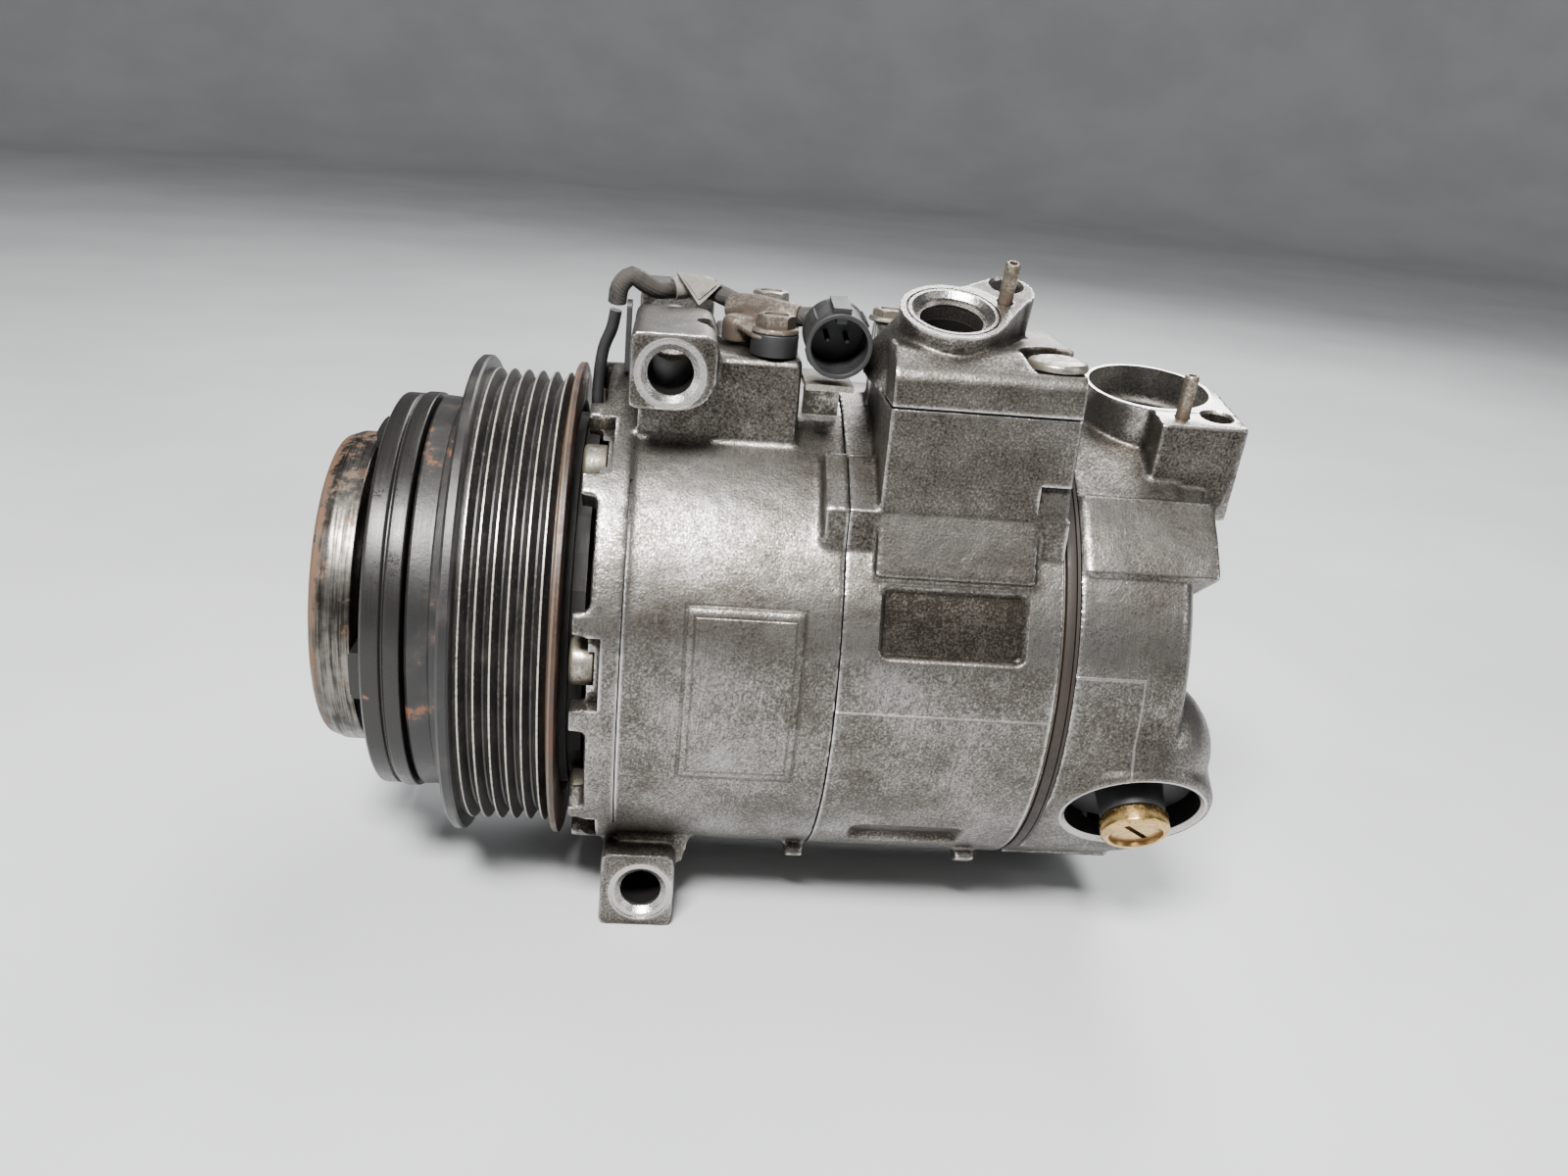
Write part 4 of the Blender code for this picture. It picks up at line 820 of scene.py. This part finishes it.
def front_housing():
    outside = [
        (84.9, 0), (84.9, BODY_RADIUS), (36.0, BODY_RADIUS), (35.6, 61.5), (28.6, 61.5), (28.6, 47.6),
        (33.0, 47.6), (33.0, 30.0), (27.1, 30.0), (27.1, 19.0), (13.0, 19.0), (13.0, 17.4), (-12.0, 17.4),
        (-12.0, 0),
    ]
    plinth = [(-31.0, 40.0), (-31.0, 70.8), (-29.8, 72.0), (-4.0, 72.0), (-1.0, 50.0)]
    shelf = [(-31.0, 40.0), (-31.0, 70.8), (-29.8, 72.0), (19.0, 72.0), (22.0, 45.0)]
    ear = rounded([(34.2, 61.4, 1.5), (53.4, 61.4, 8.0), (53.4, 78.4, 3.6), (34.2, 78.4, 1.8)])
    foot = rounded([(33.0, FOOT, 1.5), (51.4, FOOT, 2.0), (51.4, -50.5, 2.5), (33.2, -50.5, 1.5)])
    far_root = [(36.2, 44.0), (50.5, 44.0), (50.5, 66.0), (36.2, 66.0)]
    web = [(36.4, -56.0), (53.0, -56.0), (56.0, -44.0), (36.4, -44.0)]
    solids = [
        lathe(outside, segments=180),
        along_prism(plinth, 36.2, 54.5),
        along_prism(shelf, 54.0, 73.0),
        rod(4.9, 60.0, 75.9, upright(67.3, 12.0)),
        across_prism(ear, PAD_FACE - 0.3, -6.0),
        across_prism(ear, 20.0, FAR_FACE + 0.3),
        across_prism(far_root, 21.0, 44.0),
        across_prism(foot, PAD_FACE - 0.3, FAR_FACE + 0.3),
        across_prism(web, -37.5, 39.0),
        *lugs(79.2, 84.9),
        sector((79.0, 83.6), (57.0, 64.4), (-59.5, -55.0)),
    ]
    for angle in BOLT_ANGLES:
        for side in (-11.0, 10.5):
            spread = (angle + side - 2.6, angle + side + 2.6)
            solids.append(sector((25.0, 31.0), (55.0, BODY_RADIUS + 0.9), spread))
    mesh = softened(solids, 0.80, 4)
    relief(mesh, [((50.4, 76.1), (-19.8, 19.8), 0.35, 0.6, 1.0)])
    roughened(mesh)

    cavity = lathe([(90.0, 0), (90.0, 54.8), (38.0, 54.8), (38.0, 0)], segments=120)
    bore = lathe([(39.0, 0), (39.0, 12.3), (9.0, 12.3), (9.0, 13.6), (-13.0, 13.6), (-13.0, 0)])
    scallops = [sector((20.0, 31.4), (57.4, 70.0), (angle - 8.2, angle + 7.7)) for angle in BOLT_ANGLES]
    ring = ((35.55, 35.9), (60.35, 61.8))
    tools = [beyond(HOUSING_REAR, 95.0)]
    for low, high in ((55.0, 90.0), (-80.0, -45.0)):
        tools.append(block((20.0, -60.0, low), (60.0, PAD_FACE, high)))
        tools.append(block((20.0, FAR_FACE, low), (60.0, 60.0, high)))
    tools += [
        block((20.0, -60.0, -80.0), (60.0, 60.0, FOOT)),
        block((58.0, -35.0, 75.7), (80.0, 25.0, 90.0)),
        cut(cavity, rods_about(5.5, 37.0, 91.0, 32)),
        bore,
        rods_about(BOLT_HOLE, 20.0, 90.0),
        scallops,
        rods_about(6.6, 20.0, 30.1, 40),
        lathe([(86.0, 56.3), (86.0, 58.9), (82.4, 58.9), (82.4, 56.3)], segments=96),
        [sector(*ring, (-42.0, 47.0), 60), sector(*ring, (133.0, 222.0), 60)],
        [rod(5.1, -60.0, 60.0, at, 64) for at in EAR_AXES],
    ]
    for end, seat, inner in ((-45.0, -43.6, -42.2), (47.0, 45.7, 44.3)):
        chamfer = [(end, 0), (end, 7.75), (seat, 7.7), (seat, 6.5), (inner, 5.0), (inner, 0)]
        tools.append([lathe(chamfer, at) for at in EAR_AXES])
    tools.append([rod(3.0, 64.0, 80.0, upright(*at)) for at in CLAMP_BOLTS])
    tools.append(rod(5.6, 74.6, 85.0, upright(54.0, -24.0)))
    return cut(mesh, *tools)


def cylinder_block():
    outside = [(134.9, 0), (134.9, BODY_RADIUS + 0.2), (84.2, BODY_RADIUS + 0.2), (84.2, 0)]
    walls = [(-50.0, 38.0), (-50.0, 67.2), (-6.0, 67.2), (-6.0, 45.0)]
    solids = [
        lathe(outside, segments=180),
        sector((91.3, 127.6), (50.0, 62.4), (28.7, 46.0)),
        along_prism([(-30.0, 30.3), (-54.6, 30.3), (-49.9, 43.8), (-30.0, 43.8)], 91.3, 127.6),
        along_prism(walls, 91.2, 134.0),
        *lugs(84.2, 92.1),
        *lugs(127.0, 134.9),
        sector((122.5, 127.5), (57.0, 64.0), (-57.0, -52.5)),
    ]
    mesh = softened(solids, 0.62, 4)
    window, slot = WINDOWS
    relief(mesh, [
        (window[:2], window[2:], -1.5, 0.7, 1.8),
        (slot[:2], slot[2:], -1.8, 1.1, 3.0),
        ((86.0, 120.0), (-30.0, -8.0), 0.10, 4.0, 6.0),
    ])
    roughened(mesh)
    notch = [(-53.0, 43.9), (-50.3, 43.7), (-48.2, 51.6), (-53.0, 51.6)]
    tools = [
        beyond(BLOCK_FRONT, 80.0),
        beyond(BLOCK_REAR, 145.0),
        block((85.0, -60.0, WALL_TOP), (140.0, 0.0, 80.0)),
        along_prism(notch, 126.8, 136.0),
        block((97.2, -45.0, 57.0), (128.0, -11.0, 80.0)),
        rods_about(15.7, 80.0, 140.0, 64, 39.0, BORE_ANGLES),
        rod(12.4, 80.0, 140.0, SHAFT),
        rods_about(BOLT_HOLE, 80.0, 140.0),
        [rod(2.9, 58.0, 90.0, upright(*at)) for at in COVER_BOLTS],
    ]
    return cut(mesh, *tools)


def muffler_cover():
    outline = rounded([
        (-50.0, 66.8, 0), (-6.0, 66.8, 0), (-6.0, 79.6, 3.0), (-43.5, 79.6, 6.0), (-50.0, 74.6, 5.0),
    ])
    lobe = arc((0, 0), 12.1, 75, 330, 48) + arc((13.9, 12.0), 6.6, -55, 100, 20)
    solids = [
        along_prism(outline, 91.2, 134.0),
        extruded(lobe, -16.0, 0.4, DISCHARGE),
        rod(19.0, -15.5, -4.5, DISCHARGE, 64, 12.2),
    ]
    mesh = roughened(softened(solids, 0.5, 6))
    tools = [
        block((85.0, -60.0, 60.0), (140.0, 0.0, COVER_FOOT)),
        block((97.2, -45.0, 60.0), (128.0, -11.0, 75.6)),
        block((-30.0, -30.0, 0.0), (40.0, 30.0, 8.0), DISCHARGE),
        rod(9.0, 76.2, 110.0, upright(*COVER_BOLTS[0]), 64),
        lathe([(2.0, 0), (2.0, 8.1), (-2.4, 8.1), (-2.4, 7.2), (-26.0, 7.2), (-26.0, 0)], DISCHARGE),
        lathe([(0.2, 9.7), (0.2, 0), (-1.3, 0), (-1.3, 8.0)], DISCHARGE),
        lathe([(0.5, 10.2), (0.5, 10.7), (-0.5, 10.7), (-0.5, 10.2)], DISCHARGE),
        rod(2.0, -5.0, 2.0, DISCHARGE_PIN, 32),
        rod(3.5, -12.0, 2.0, DISCHARGE_HOLE),
        rod(3.3, -0.9, 0.3, DISCHARGE_HOLE, end_radius=4.5),
        [rod(3.2, 58.0, 100.0, upright(*at)) for at in COVER_BOLTS],
    ]
    return cut(mesh, *tools)


def rear_head():
    outside = [(138.6, 0, 0), (138.6, 60.3, 0), (164.6, 60.3, 3.5), (167.6, 54.0, 5.0), (167.6, 0, 0)]
    brace = [(157.3, 26.3), (172.0, 26.3), (172.9, 35.0), (176.6, 48.0), (177.6, 58.0), (157.3, 58.0)]
    corners = [(-3.9, -25.0, 1.0), (17.6, -25.0, 1.5), (17.6, 4.0, 6.0), (-2.0, 4.0, 0)]
    boss = [(0.3, 0), (0.3, 18.3), (-1.4, 19.3), (-17.0, 19.3), (-46.0, 16.0), (-51.0, 12.0), (-51.0, 0)]
    solids = [
        turned(outside, 8, segments=180),
        sector((140.1, 171.4), (40.0, 61.2), (32.3, 51.0)),
        sector((150.0, 170.6), (30.0, 59.4), (40.7, 140.0), 60),
        rod(15.8, -34.0, 0.4, SUCTION, 96),
        extruded(rounded(corners), -24.0, 0.0, SUCTION),
        across_prism(brace, -33.0, 12.0),
        rod(4.2, 139.2, 151.6, frame_at((0, -23.5, 57.4), z=(1, 0, 0)), soft=0.8),
        sector((140.0, 170.0), (50.0, 62.8), (-112.0, -72.0)),
        lathe(boss, VALVE, 120),
        rod(4.6, -9.0, 0.6, shifted(VALVE, 3.0, -18.2)),
        ball(6.0, frame_at((170.5, -28.0, 27.0))),
        ball(18.5, frame_at((161.0, -43.8, -13.5)), 64),
    ]
    mesh = roughened(softened(solids, 0.62, 6))
    tools = [
        beyond(HEAD_FRONT, 130.0),
        block((-40.0, -40.0, 0.0), (40.0, 40.0, 8.0), SUCTION),
        block((-5.0, -26.0, -0.15), (19.0, -16.0, 4.0), SUCTION),
        lathe([(138.0, 0), (138.0, 26.0), (154.0, 26.0), (155.5, 24.0), (155.5, 0)]),
        lathe([(138.0, 30.5), (138.0, 47.0), (154.0, 47.0), (154.0, 30.5)]),
        rods_about(BOLT_HOLE, 138.0, 157.5),
        lathe([(2.0, 0), (2.0, 14.8), (-9.0, 14.8), (-9.0, 13.4), (-25.0, 13.4), (-25.0, 0)], SUCTION),
        rod(3.6, -14.0, 2.0, SUCTION_HOLE),
        rod(3.4, -0.9, 0.3, SUCTION_HOLE, end_radius=4.6),
        rod(2.0, -5.0, 2.0, SUCTION_PIN, 32),
        block((-30.0, -30.0, 0.0), (30.0, 30.0, 5.0), VALVE),
        lathe([(2.0, 0), (2.0, 16.3), (-12.0, 16.3), (-12.0, 12.5), (-46.0, 12.5), (-46.0, 0)], VALVE),
        lathe([(0.2, 17.3), (0.2, 0), (-1.0, 0), (-1.0, 16.2)], VALVE),
    ]
    return cut(mesh, *tools)


for part, shape, material in (
    ("front_housing", front_housing, "cast_housing"),
    ("cylinder_block", cylinder_block, "cast_block"),
    ("muffler_cover", muffler_cover, "cast_cover"),
    ("rear_head", rear_head, "cast_head"),
):
    piece(part + "_casting", shape(), "housing", "cast_aluminium", [part], material)


# Plates, bolts and pins

def joint_plates():
    for name, start, end, radius, material in (
        ("suction_reed_plate", 134.7, 135.2, 60.2, "bare_steel"),
        ("valve_plate", 135.5, 137.7, 60.5, "gasket"),
    ):
        outline = [(end, 6.0, 0), (end, radius, 0.2), (start, radius, 0.2), (start, 6.0, 0)]
        plate = turned(outline, segments=160)
        ports = rods_about(2.8, 130.0, 145.0, 24, 35.0, BORE_ANGLES)
        fine(name, cut(plate, rods_about(BOLT_HOLE, 130.0, 145.0), ports), "bare_steel", material)
    ring = lathe([(138.7, 47.6), (138.7, 60.3), (138.0, 60.3), (138.0, 47.6)], segments=160)
    ring = cut(ring, rods_about(BOLT_HOLE, 130.0, 145.0))
    piece("rear_gasket_fine", ring, "housing", "gasket", ["rear_joint_gasket"])


def through_bolts():
    head = [(29.8, 0, 0), (29.8, 5.5, 0.3), (24.4, 5.5, 1.1), (24.4, 0, 0)]
    for i, angle in enumerate(BOLT_ANGLES):
        at = along_shaft(BOLT_CIRCLE, angle)
        bolt = joined(rod(2.75, 27.0, 155.0, at, 24), turned(head, 5, at, 48))
        socket, _ = hexagon(5.0, 20.0, 27.0, at)
        fine(f"through_bolt_{i + 1}", cut(bolt, socket), "zinc_steel")


def pan_bolt(name, at, foot, seat, radius):
    """Bolt with a low round head. foot and seat are the heights of its tip and of its head's underside."""
    head = turned([
        (seat, 0, 0), (seat, radius, 0.3), (seat + 1.7, radius - 0.3, 1.0), (seat + 2.4, radius - 2.6, 1.0),
        (seat + 2.0, 2.4, 0.4), (seat + 2.0, 0, 0),
    ], 5, at, 64)
    fine(name, joined(head, rod(2.6, foot, seat + 1.0, at, 24)), "zinc_steel")


def hex_bolt(name, at, foot, seat, flange, flats, material="zinc_steel", height=4.1):
    """Bolt with a washer face and a hexagon head."""
    body, dome = hexagon(flats, seat + 0.9, seat + height, at)
    rim = seat + 1.2
    washer = turned([(seat, 0, 0), (seat, flange, 0.3), (rim, flange - 0.5, 0.4), (rim, 0, 0)], 4, at, 48)
    mesh = joined(washer, crowned(body, dome), rod(2.6, foot, seat + 1.0, at, 24))
    top = seat + height
    well = [(top - 0.7, 0), (top - 0.4, flats / 2 - 1.2), (top + 0.4, flats / 2 - 1.0), (top + 0.4, 0)]
    fine(name, cut(mesh, lathe(well, at, 32)), "zinc_steel", material)


def port_pins():
    for name, at, height in (("discharge", DISCHARGE_PIN, 9.6), ("suction", SUCTION_PIN, 10.2)):
        profile = [
            (height, 0.9, 0.1), (height, 1.45, 0.2), (height - 0.6, 1.7, 0.3), (-4.6, 1.7, 0), (-4.6, 0.9, 0),
        ]
        fine(name + "_port_pin", turned(profile, 3, at, 40), "bare_steel")


def control_valve():
    body = [
        (-6.3, 0, 0), (-6.3, 6.3, 0), (0.9, 6.3, 0), (0.9, 7.9, 0.3), (-6.3, 8.1, 0.4), (-6.3, 15.6, 0.4),
        (-9.4, 15.6, 0.2), (-9.4, 12.0, 0.2), (-40.0, 12.0, 0), (-44.0, 8.0, 0), (-44.0, 0, 0),
    ]
    fine("control_valve_body", turned(body, 4, VALVE, 80), "black_steel", "black_plastic")
    adjuster = [
        (4.9, 0, 0), (4.9, 6.2, 0), (6.0, 6.5, 0.2), (6.0, 7.4, 0.3), (5.1, 8.3, 0.3), (1.4, 8.3, 0.3),
        (1.0, 7.4, 0), (1.0, 6.1, 0), (-6.0, 6.1, 0), (-6.0, 0, 0),
    ]
    slot = block((-0.7, -4.8, 3.4), (0.7, 4.8, 8.0), spun(VALVE, 0.83))
    fine("control_valve_adjuster", cut(turned(adjuster, 4, VALVE), slot), "brass")
    ring = lathe([(-9.6, 12.6), (-9.6, 15.9), (-10.9, 15.9), (-10.9, 12.6)], VALVE)
    gap = block((-3.0, -20.0, -13.0), (3.0, -10.0, -8.0), VALVE)
    piece("control_valve_ring_fine", cut(ring, gap), "housing", "bare_steel", ["control_valve_snap_ring"])


joint_plates()
through_bolts()
port_pins()
control_valve()
sunk_bolt, top_bolt = (upright(*at) for at in COVER_BOLTS)
pan_bolt("muffler_bolt_1", sunk_bolt, foot=60.0, seat=76.5, radius=7.0)
hex_bolt("muffler_bolt_2", top_bolt, foot=60.0, seat=79.9, flange=5.2, flats=7.3, height=2.9)


# Pulley and clutch

def pulley():
    pitch, tip_radius, root = 3.56, 58.0, 55.3
    outer = [(22.0, 60.2), (21.7, 60.9), (20.6, 60.9), (20.1, 60.4)]
    for rib in reversed(range(6)):
        tip = rib * pitch
        outer += [(tip + pitch / 2 + 0.2, root), (tip + pitch / 2 - 0.2, root)]
        outer += [(tip + 0.34, tip_radius - 0.35), (tip + 0.15, tip_radius)]
        outer += [(tip - 0.15, tip_radius), (tip - 0.34, tip_radius - 0.35)]
    flange = [(-1.2, 57.5), (-1.5, 60.5), (-2.0, 61.0), (-3.7, 61.0), (-4.4, 60.3), (-5.0, 51.4)]
    front = [(-5.5, 50.9), (-7.4, 50.4), (-7.9, 49.8), (-12.4, 50.1), (-13.0, 49.6)]
    hub = [(-13.0, 24.2), (-8.5, 24.2), (-8.5, 27.6), (13.0, 27.6), (13.0, 31.5)]
    channel = [(-7.5, 31.5), (-7.5, 49.8), (22.0, 51.2)]
    wheel = lathe(outer + flange + front + hub + channel, segments=240)
    fine("pulley", wheel, "black_steel", body="pulley", angle=30)
    for side, body, low, high in (("outer", "pulley", 25.2, 27.3), ("inner", "housing", 17.8, 19.8)):
        race = [(12.2, low, 0.3), (12.2, high, 0.3), (-8.2, high, 0.3), (-8.2, low, 0.3)]
        fine(f"pulley_bearing_{side}_race", turned(race), "bare_steel", body=body)


def clutch():
    armature = [
        (-13.9, 19.0, 0), (-13.9, 50.7, 0.4), (-17.5, 50.7, 0.5), (-17.9, 49.6, 0.2), (-18.3, 49.6, 0.2),
        (-18.8, 50.2, 0.5), (-22.6, 50.2, 0.7), (-23.2, 49.2, 0.4), (-23.2, 19.0, 0),
    ]
    disc = turned(armature, 4, segments=200)
    fine("armature_plate", disc, "clutch_steel", body="armature", angle=30)

    arms = []
    for angle, reach in ((84.0, 44.6), (-98.0, 50.2), (-8.0, 44.6)):
        arms.append(sector((-26.7, -25.5), (20.0, reach - 0.4), (angle - 7.0, angle + 7.0)))
        arms.append(sector((-26.3, -24.1), (reach - 6.0, reach), (angle - 8.0, angle + 8.0)))
    plate = lathe([(-25.6, 13.4), (-25.6, 30.0), (-26.6, 30.0), (-26.6, 13.4)])
    fine("spring_plate", joined(plate, *arms), "clutch_steel", body="shaft")

    shell = [
        (-27.2, 39.6, 0.4), (-33.2, 39.6, 1.5), (-36.9, 38.2, 1.4), (-37.6, 36.4, 0.4), (-36.6, 36.0, 0.3),
        (-35.0, 36.2, 0.5), (-28.5, 36.2, 0.4), (-28.5, 24.2, 0), (-27.2, 24.2, 0),
    ]
    fine("hub_cup", turned(shell, 5, segments=200), "rusty_steel", body="shaft", angle=32)
    damper = [(-28.8, 23.9, 0), (-28.8, 35.9, 0), (-35.0, 35.9, 1.2), (-34.2, 30.0, 3.0), (-35.0, 23.9, 1.0)]
    fine("hub_damper", turned(damper, 5, segments=120), "rubber", body="shaft")
    hub = [
        (-14.6, 8.0, 0), (-14.6, 13.0, 0.4), (-27.8, 13.0, 0.5), (-27.8, 23.6, 0.4), (-33.6, 23.6, 0.8),
        (-33.6, 12.0, 0.6), (-29.8, 12.0, 0.4), (-29.8, 8.0, 0),
    ]
    fine("hub", turned(hub, 4, segments=120), "rusty_steel", body="shaft")
    nut, dome = hexagon(13.5, 30.1, 36.0, frame_at(z=(-1, 0, 0), x=(0, 0, 1)), 0.9)
    fine("hub_nut", cut(crowned(nut, dome), rod(4.9, -40.0, -28.0, SHAFT)), "zinc_steel", body="shaft")
    shaft = [
        (129.0, 0, 0), (129.0, 7.2, 0.4), (128.0, 7.7, 0.4), (-29.5, 7.7, 0.3), (-29.5, 4.6, 0.2),
        (-36.6, 4.6, 0.5), (-36.6, 0, 0),
    ]
    fine("drive_shaft", turned(shaft, segments=72), "bare_steel", body="shaft")


pulley()
clutch()


# Wiring on top of the housing

COIL_LEAD = [
    (25.6, 0.0, 49.0), (25.4, 0.0, 54.0), (25.6, 0.5, 60.0), (26.4, 0.5, 66.0), (28.2, 0.0, 71.0),
    (29.0, -0.5, 75.5),
]
HARNESS = [
    (29.2, -0.5, 77.5), (29.8, -1.5, 81.5), (32.5, -1.6, 84.2), (35.4, -0.6, 82.6), (38.5, 1.0, 81.0),
    (43.0, 4.0, 81.0), (49.0, 5.5, 82.0), (55.5, 1.5, 80.4), (62.0, -5.5, 78.8), (68.0, -12.5, 78.8),
    (74.0, -15.0, 79.6), (79.2, -16.5, 80.2), (79.4, -19.6, 79.6),
]
CONNECTOR_DIP = math.radians(6.0)
CONNECTOR = frame_at((79.8, -40.0, 77.4), z=(0, -math.cos(CONNECTOR_DIP), -math.sin(CONNECTOR_DIP)))


def connector():
    shell = [
        (-12.0, 0, 0), (-12.0, 6.3, 0), (0.0, 6.3, 0.2), (0.0, 7.4, 0.3), (-2.2, 7.4, 0.2), (-2.6, 7.1, 0.1),
        (-11.5, 7.1, 0.1), (-12.0, 7.4, 0.2), (-14.0, 7.4, 0.4), (-15.0, 6.0, 0.6), (-19.8, 5.0, 0.8),
        (-19.8, 0, 0),
    ]
    parts = [
        block((-2.0, 6.5, -12.0), (2.0, 8.4, -1.0), CONNECTOR),
        block((-1.1, 5.0, -11.0), (1.1, 6.9, -0.8), CONNECTOR),
    ]
    for turn in (0.9, 2.25, 4.0, 5.4):
        parts.append(block((-0.8, 6.6, -11.6), (0.8, 7.8, -3.0), spun(CONNECTOR, turn)))
    pins = [rod(0.6, -12.5, -5.0, shifted(CONNECTOR, x, 0), 16, soft=0.3) for x in (-2.2, 2.2)]
    body = joined(turned(shell, 3, CONNECTOR, 80), *parts)
    fine("wiring_connector", joined(body, *pins), "black_plastic")

    floor = [(-38.0, 67.0), (-20.0, 67.0), (-20.0, 68.4), (-38.0, 68.4)]
    leg = [(-21.4, 57.9), (-20.0, 57.9), (-20.0, 67.6), (-21.4, 67.6)]
    clip = joined(along_prism(floor, 73.4, 84.2), along_prism(leg, 74.6, 83.0))
    fine("connector_clip", clip, "zinc_steel")


def wiring():
    fine("coil_lead", tube(COIL_LEAD, 1.5), "black_plastic")
    fine("wiring_harness", tube(HARNESS, 2.3, 20), "sleeve", angle=60)
    wrap = tube([(42.6, 3.7, 81.0), (46.0, 4.9, 81.6), (49.0, 5.5, 82.0), (52.0, 4.2, 81.3)], 2.8, 20)
    flag = frame_at((48.6, -0.2, 82.6), z=(0.05, -1, 0.30))
    sheet = rounded([(-5.6, 3.4, 0.3), (6.0, 1.4, 0.3), (0.4, -4.6, 0.3)], 2)
    fold = rounded([(-4.2, 2.2, 0.3), (4.6, 0.9, 0.3), (0.3, -3.2, 0.3)], 2)
    fine("cable_tape", joined(wrap, extruded(sheet, -3.0, 0.3, flag), extruded(fold, 0.0, 0.7, flag)), "tape")

    outline = rounded([
        (57.0, -14.0, 4.0), (61.6, -31.0, 4.6), (71.2, -31.0, 4.6), (73.2, 17.6, 5.0), (62.0, 17.6, 5.0),
        (58.0, 6.0, 3.0),
    ], 6)
    strap = tube([(57.4, -1.5, 78.0), (62.0, -5.5, 78.8), (68.0, -12.5, 78.8), (72.4, -14.4, 78.4)], 3.9, 24)
    bulge = rod(4.6, 72.6, 78.6, upright(59.2, -13.0), soft=1.8)
    clamp = roughened(softened([extruded(outline, 75.7, 77.1), strap, bulge], 0.45, 4), ((5.0, 0.12),))
    holes = [rod(3.2, 70.0, 80.0, upright(*at)) for at in CLAMP_BOLTS]
    fine("harness_clamp", cut(clamp, holes), "zinc_steel", "rusty_clamp")
    front, rear = (upright(*at) for at in CLAMP_BOLTS)
    hex_bolt("clamp_bolt_front", front, foot=65.0, seat=77.3, flange=5.6, flats=8.0, material="rusty_clamp")
    hex_bolt("clamp_bolt_rear", rear, foot=65.0, seat=77.3, flange=5.6, flats=8.0)
    spacer = [(72.2, 3.0, 0), (72.2, 5.5, 0.3), (77.2, 5.5, 0.3), (77.2, 3.0, 0)]
    fine("clamp_spacer", turned(spacer, 3, front, 48), "black_plastic")

    plate = rounded([(-9.0, 62.2, 0.5), (-3.2, 62.2, 0.5), (-3.2, 79.0, 1.5), (-9.0, 79.0, 1.5)], 4)
    bracket = joined(along_prism(plate, 31.9, 33.1), block((31.9, -8.9, 62.25), (34.2, 4.0, 63.4)))
    fine("lead_bracket", bracket, "black_steel", "black_plastic")


connector()
wiring()


# Stage, light and camera

def stage():
    """A pale floor that curves up into a wall far behind the part, all round."""
    rim = arc((2.4, 0.9), 0.9, 270, 360, 24)
    segments = 96
    turns = np.linspace(0, 2 * math.pi, segments, False)
    verts = [(0.0, 0.0, 0.0)]
    for radius, height in rim:
        verts += [(radius * math.cos(t), radius * math.sin(t), height) for t in turns]
    steps = [(j, (j + 1) % segments) for j in range(segments)]
    faces = [(0, 1 + j, 1 + k) for j, k in steps]
    for ring in range(len(rim) - 1):
        low = 1 + ring * segments
        high = low + segments
        faces += [(low + j, high + j, high + k, low + k) for j, k in steps]
    mesh = bpy.data.meshes.new("floor")
    mesh.from_pydata(verts, [], faces)
    mesh.shade_smooth()
    shade = Shader("floor_paint")
    cloud = shade.step(0.3, 0.7, shade.noise(180.0, 3.0))
    shade.bump(shade.noise(3.0, 3.0), 0.05)
    colour = shade.mix(cloud, (0.46, 0.47, 0.48), (0.52, 0.53, 0.54))
    mesh.materials.append(shade.made(colour, 0.5))
    floor = placed(mesh, "floor")


def area_light(name, at, size, power, colour=(1.0, 1.0, 1.0)):
    """A light aimed at the middle of the part. It and its place are in metres."""
    data = bpy.data.lights.new(name, "AREA")
    data.shape = "RECTANGLE"
    data.size, data.size_y = size
    data.energy = power
    data.color = colour
    light = placed(data, name)
    light.location = at
    aim = Vector((0.0, 0.0, 0.08)) - Vector(at)
    light.rotation_euler = aim.to_track_quat("-Z", "Y").to_euler()


def camera():
    turn = Matrix(((1, 0, 0), (0, 0, 1), (0, -1, 0)))
    for angle, axis in ((5.458, "Y"), (20.0, "X"), (-5.285, "Z")):
        turn = Matrix.Rotation(math.radians(angle), 3, axis) @ turn
    turn.transpose()
    at = -(turn @ Vector((-76.34, -0.91, -358.28))) - Vector(CENTRE)
    data = bpy.data.cameras.new("camera")
    data.lens = 31.5
    data.sensor_width = 36.0
    data.clip_start = 0.01
    thing = placed(data, "camera")
    thing.matrix_world = Matrix.Translation(at * MM) @ turn.to_4x4()
    bpy.context.scene.camera = thing


stage()
area_light("key", (-0.25, -0.72, 1.02), (0.40, 0.26), 54.0, colour=(1.0, 0.99, 0.97))
area_light("top", (0.25, 0.35, 1.25), (0.7, 0.4), 8.0)
area_light("side", (1.0, -0.6, 0.6), (0.3, 0.6), 3.5)
area_light("left", (-1.1, -0.3, 0.45), (0.25, 0.7), 3.5)
area_light("back", (0.35, 0.95, 0.75), (0.6, 0.4), 13.0)
world = bpy.data.worlds.new("studio")
bpy.context.scene.world = world
world.use_nodes = True
sky = world.node_tree.nodes["Background"].inputs
sky["Color"].default_value = (0.80, 0.83, 0.87, 1.0)
sky["Strength"].default_value = 0.11
camera()
